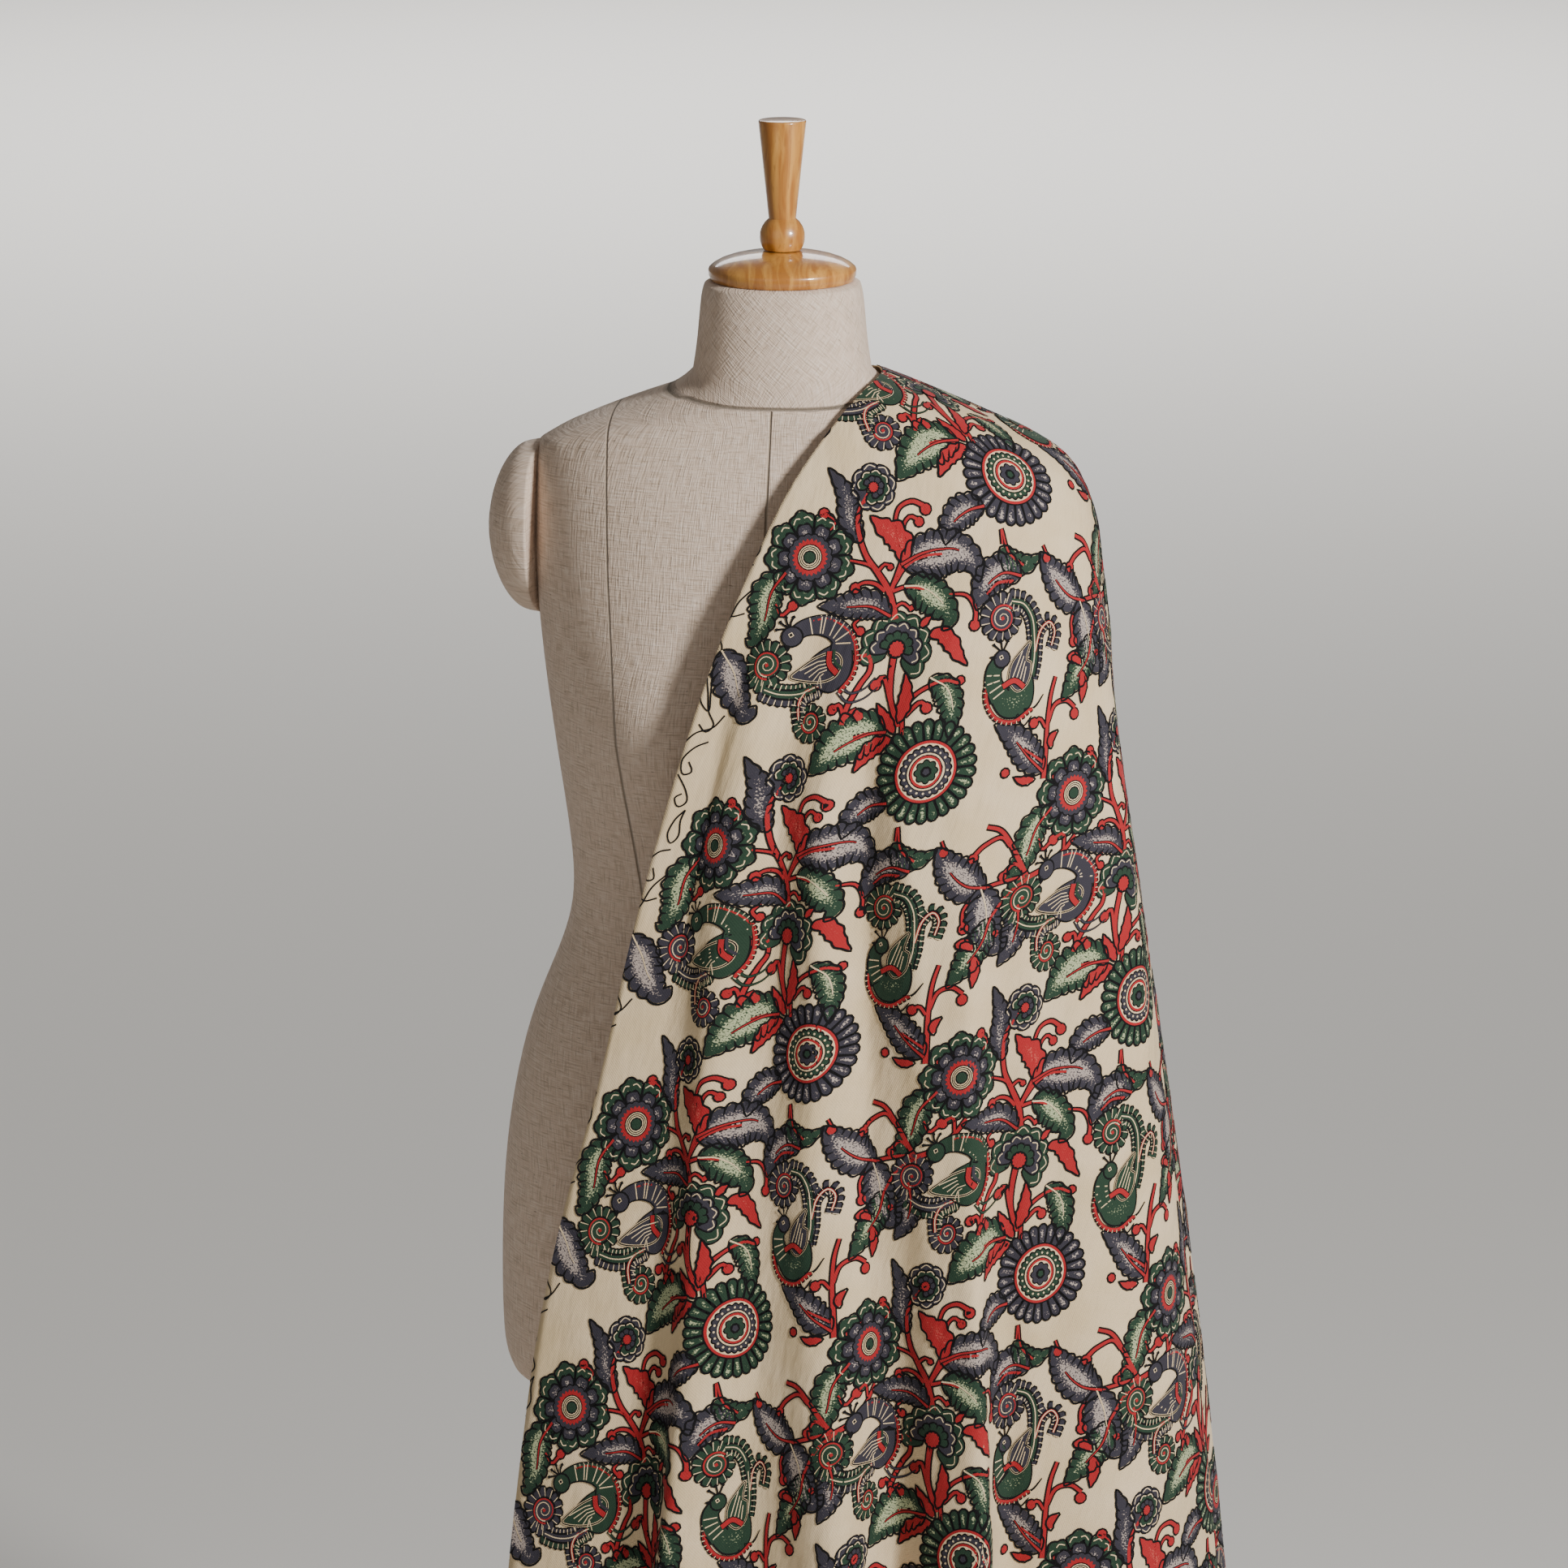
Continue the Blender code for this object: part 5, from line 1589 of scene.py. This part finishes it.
# Black outlines beside the selvedge, left of the first flowers, by their stops
MARGIN_LINES = (
    ((-36, -62), (-44, -56), (-50, -46), (-47, -37), (-41, -40), (-45, -46)),
    ((-50, -36), (-42, -28), (-38, -20), (-43, -15), (-47, -20), (-43, -24)),
    ((-37, -14), (-42, -6), (-44, 4), (-40, 10), (-36, 4), (-38, -6), (-37, -14)),
    ((-38, 14), (-46, 18), (-52, 28), (-49, 38), (-43, 36), (-46, 29)),
    ((-34, 30), (-42, 42), (-46, 56), (-52, 64)),
    ((-36, 48), (-44, 52), (-50, 50)),
    ((-52, 68), (-46, 72), (-45, 80), (-51, 82), (-52, 76)),
    ((-47, 92), (-53, 100), (-50, 112), (-42, 118), (-44, 106), (-47, 92)),
    ((-50, 96), (-46, 106), (-42, 118), (-36, 126), (-40, 132), (-46, 128)),
    ((-30, 118), (-36, 128), (-46, 134), (-52, 142)),
)


def motif_repeat():
    """Return the marks of one half repeat, in the dyes of an even row."""
    marks = []
    for row in STEMS:
        marks += stem(row.stops, row.start, row.end)
    for row in BALLS:
        marks += ball((row.u, row.v), row.radius)
    for row in LEAVES:
        marks += leaf(row.rib, row.width, "indigo" if row.swaps else "green", row.teeth,
                      row.vein)
    for row in FLAMES:
        marks += flame_leaf(row.rib, row.width)
    for stops in MARGIN_LINES:
        marks.append(ink_line(smooth_curve(stops, False, 2.0), 1.1, "margin", 2))
    marks += nine_petal_flower((0.0, 0.0), "indigo", "green")
    marks += sunflower((130.0, 114.0), "even_green", "even_indigo")
    marks += fan_flower((78.0, 45.0), 26.0, -205.0, 25.0, 8, "indigo", "green")
    marks += fan_flower((34.0, -55.0), 17.0, -200.0, 110.0, 8, "green", "indigo")
    marks += peacock("even_green", "even_indigo")
    marks += raised_tail_bird("green", "even_green")
    return marks


NARROWING = namedtuple("NARROWING", "down share")
# How much narrower the print looks across than it was printed, by the way down, in the fine
# gathers that the sheet's own folds don't hold
NARROWINGS = (
    NARROWING(-200.0, 0.92), NARROWING(0.0, 0.80), NARROWING(200.0, 0.775),
    NARROWING(700.0, 0.77),
)
NARROW_EDGE = 300.0
OUTER_SHARE = 0.88
LIFT = 0.00035
LEVEL_LIFT = 0.00006
NEAR = 12.0
SMALLEST_SHARE = 1e-9
LEAST_NARROWING = 0.75


def on_the_flat(points):
    """Return printed places as they lie on the gathered cloth, flat, in millimetres."""
    share = between_rows(points[:, 1], NARROWINGS)
    inner = np.minimum(points[:, 0], NARROW_EDGE)
    outer = np.maximum(points[:, 0] - NARROW_EDGE, 0.0)
    return np.column_stack([inner * share + outer * OUTER_SHARE, points[:, 1]])


class SheetSide:
    """One side of the sheet laid flat, which finds a printed place's column and line."""

    def __init__(self, front):
        grid = FLAT["front" if front else "back"] / MM
        lines, columns, _ = grid.shape
        cut = CUT_COLUMN / COLUMNS
        self.low, self.high = (0.0, cut) if front else (cut, 1.0)
        shares = np.meshgrid(np.linspace(self.low, self.high, columns),
                             np.linspace(0.0, 1.0, lines))
        self.shares = np.stack(shares, axis=2).reshape(-1, 2)
        self.flat = grid.reshape(-1, 2)
        corner = (np.arange(lines - 1)[:, None] * columns + np.arange(columns - 1)).ravel()
        self.faces = np.concatenate([
            np.column_stack([corner, corner + 1, corner + columns + 1]),
            np.column_stack([corner, corner + columns + 1, corner + columns])])
        places = np.column_stack([self.flat, np.zeros(len(self.flat))])
        self.tree = BVHTree.FromPolygons(places.tolist(), self.faces.tolist(),
                                         all_triangles=True)
        self.box = (self.flat.min(axis=0), self.flat.max(axis=0))

    def places(self, points):
        """Return each point's column and line as shares, and which points are near."""
        found = np.zeros(len(points), int)
        near = np.zeros(len(points), bool)
        for index, point in enumerate(points.tolist()):
            _, _, face, _ = self.tree.find_nearest((*point, 0.0), NEAR)
            if face is not None:
                found[index] = face
                near[index] = True
        corners = self.flat[self.faces[found]]
        first, second = corners[:, 1] - corners[:, 0], corners[:, 2] - corners[:, 0]
        gap = points - corners[:, 0]
        area = first[:, 0] * second[:, 1] - first[:, 1] * second[:, 0]
        area = np.where(np.abs(area) < TINY, TINY, area)
        one = (gap[:, 0] * second[:, 1] - gap[:, 1] * second[:, 0]) / area
        two = (first[:, 0] * gap[:, 1] - first[:, 1] * gap[:, 0]) / area
        weights = np.column_stack([1.0 - one - two, one, two])
        shares = (self.shares[self.faces[found]] * weights[:, :, None]).sum(axis=1)
        shares[:, 0] = np.clip(shares[:, 0], self.low, self.high)
        shares[:, 1] = np.clip(shares[:, 1], 0.0, 1.0)
        return shares, near


def joined_marks(marks):
    """Return each dye's marks as one set of points, faces, depths and levels."""
    joined = {}
    for dye in (*DYES, *CHANGING, "margin"):
        own = [mark for mark in marks if mark.dye == dye]
        starts = np.cumsum([0] + [len(mark.points) for mark in own])
        joined[dye] = (
            np.concatenate([mark.points for mark in own]),
            np.concatenate([mark.faces + start for mark, start in zip(own, starts)]),
            np.concatenate([mark.hearts for mark in own]),
            np.concatenate([np.full(len(mark.points), mark.level) for mark in own]))
    return joined


def only_used(faces):
    """Return the points that faces use, and the faces renumbered to them."""
    kept = np.unique(faces)
    order = np.full(faces.max() + 1, -1)
    order[kept] = np.arange(len(kept))
    return kept, order[faces]


def printed_marks(marks, shift, side, sheet, normals):
    """Return one dye's marks as they lie on one side of the draped sheet, or None."""
    points, faces, hearts, levels = marks
    flat = on_the_flat(points + shift)
    low, high = side.box
    outside = ((flat < low - NEAR) | (flat > high + NEAR)).any(axis=1)
    faces = faces[~outside[faces].any(axis=1)]
    if not len(faces):
        return None
    kept, faces = only_used(faces)
    shares, near = side.places(flat[kept])
    faces = faces[near[faces].all(axis=1)]
    one = shares[faces[:, 1]] - shares[faces[:, 0]]
    two = shares[faces[:, 2]] - shares[faces[:, 0]]
    faces = faces[np.abs(one[:, 0] * two[:, 1] - one[:, 1] * two[:, 0]) > SMALLEST_SHARE]
    if not len(faces):
        return None
    seen, faces = only_used(faces)
    shares, kept = shares[seen], kept[seen]
    lift = LIFT + LEVEL_LIFT * levels[kept]
    places = at_places(sheet, shares[:, 0], shares[:, 1])
    away = at_places(normals, shares[:, 0], shares[:, 1])
    away /= np.linalg.norm(away, axis=1, keepdims=True)
    return places + away * lift[:, None], faces, flat[kept] * MM, hearts[kept]


def add_print(name, parts, material):
    """Join printed marks into one piece with its flat coordinates and its depths."""
    starts = np.cumsum([0] + [len(part[0]) for part in parts])
    points = np.concatenate([part[0] for part in parts])
    faces = np.concatenate([part[1] + start for part, start in zip(parts, starts)])
    flat = np.concatenate([part[2] for part in parts])
    hearts = np.concatenate([part[3] for part in parts])
    mesh = bpy.data.meshes.new(name)
    mesh.vertices.add(len(points))
    mesh.vertices.foreach_set("co", points.ravel())
    mesh.loops.add(len(faces) * 3)
    mesh.loops.foreach_set("vertex_index", faces.ravel().astype(np.int32))
    mesh.polygons.add(len(faces))
    mesh.polygons.foreach_set("loop_start", np.arange(0, len(faces) * 3, 3))
    mesh.update(calc_edges=True)
    layer = mesh.uv_layers.new(name="flat")
    layer.uv.foreach_set("vector", flat[faces.ravel()].ravel())
    attribute = mesh.attributes.new("heart", "FLOAT", "POINT")
    attribute.data.foreach_set("value", hearts)
    mesh.validate()
    mesh.shade_smooth()
    mesh.materials.append(material)
    return add_piece(name, mesh)


class KALAMKARI_OT_print(bpy.types.Operator):
    """Print the cloth: each dye is joined marks that lie on the front or back of the sheet"""

    bl_idname = "kalamkari.print"
    bl_label = "Print"

    def execute(self, context):
        sizes = context.scene.kalamkari_sizes
        colours = context.scene.kalamkari_colours
        sheet = creased_sheet(sizes.cloth_columns, sizes.cloth_lines)
        normals = sheet_normals(sheet)
        joined = joined_marks(motif_repeat())
        dyes = {
            "cream": bpy.data.materials["washed_cotton"],
            "black": black_dye(colours),
            "red": printed_dye("madder_red_dye", colours.red, colours.red_pale),
            "green": printed_dye("dark_green_dye", colours.green, colours.green_pale),
            "indigo": printed_dye("grey_indigo_dye", colours.indigo, colours.indigo_pale),
        }
        for front in (True, False):
            side = SheetSide(front)
            low, high = side.box
            rows = range(int((low[1] - HALF_DROP) // REPEAT_HEIGHT) - 1,
                         int(high[1] // REPEAT_HEIGHT) + 2)
            # The front selvedge runs just left of the first flowers: the repeat starts there
            groups = range(0 if front else int(low[0] / LEAST_NARROWING // REPEAT_WIDTH) - 1,
                           int(high[0] / LEAST_NARROWING // REPEAT_WIDTH) + 2)
            printed = {dye: [] for dye in DYES}
            for group in groups:
                for row in rows:
                    shift = np.array([group * REPEAT_WIDTH,
                                      row * REPEAT_HEIGHT + (group % 2) * HALF_DROP])
                    for dye, marks in joined.items():
                        if dye == "margin" and (group or not front):
                            continue
                        part = printed_marks(marks, shift, side, sheet, normals)
                        if dye in CHANGING:
                            dye = CHANGING[dye][row % 2]
                        if part:
                            printed["black" if dye == "margin" else dye].append(part)
            for dye, parts in printed.items():
                if not parts:
                    raise RuntimeError("no marks were printed in " + dye)
                add_print("print_" + dye + ("_front" if front else "_back"), parts, dyes[dye])
        return {"FINISHED"}


OPERATORS = (KALAMKARI_OT_stage, KALAMKARI_OT_wood, KALAMKARI_OT_form, KALAMKARI_OT_cloth,
             KALAMKARI_OT_print)


class KALAMKARI_PT_panel(bpy.types.Panel):
    """Lists the values and the pieces"""

    bl_label = "Kalamkari"
    bl_idname = "KALAMKARI_PT_panel"
    bl_space_type = "VIEW_3D"
    bl_region_type = "UI"
    bl_category = "Kalamkari"

    def draw(self, context):
        for group in (context.scene.kalamkari_sizes, context.scene.kalamkari_colours):
            for name in group.__annotations__:
                self.layout.prop(group, name)
        for operator in OPERATORS:
            self.layout.operator(operator.bl_idname)


CLASSES = (KalamkariSizes, KalamkariColours, *OPERATORS, KALAMKARI_PT_panel)


def register():
    """Register the classes and the scene's values."""
    for item in CLASSES:
        bpy.utils.register_class(item)
    bpy.types.Scene.kalamkari_sizes = PointerProperty(type=KalamkariSizes)
    bpy.types.Scene.kalamkari_colours = PointerProperty(type=KalamkariColours)


def unregister():
    """Remove what register added."""
    del bpy.types.Scene.kalamkari_colours
    del bpy.types.Scene.kalamkari_sizes
    for item in reversed(CLASSES):
        bpy.utils.unregister_class(item)


def main():
    """Build every piece."""
    register()
    bpy.ops.kalamkari.stage()
    bpy.ops.kalamkari.wood()
    bpy.ops.kalamkari.form()
    bpy.ops.kalamkari.cloth()
    bpy.ops.kalamkari.print()


if __name__ == "__main__":
    main()
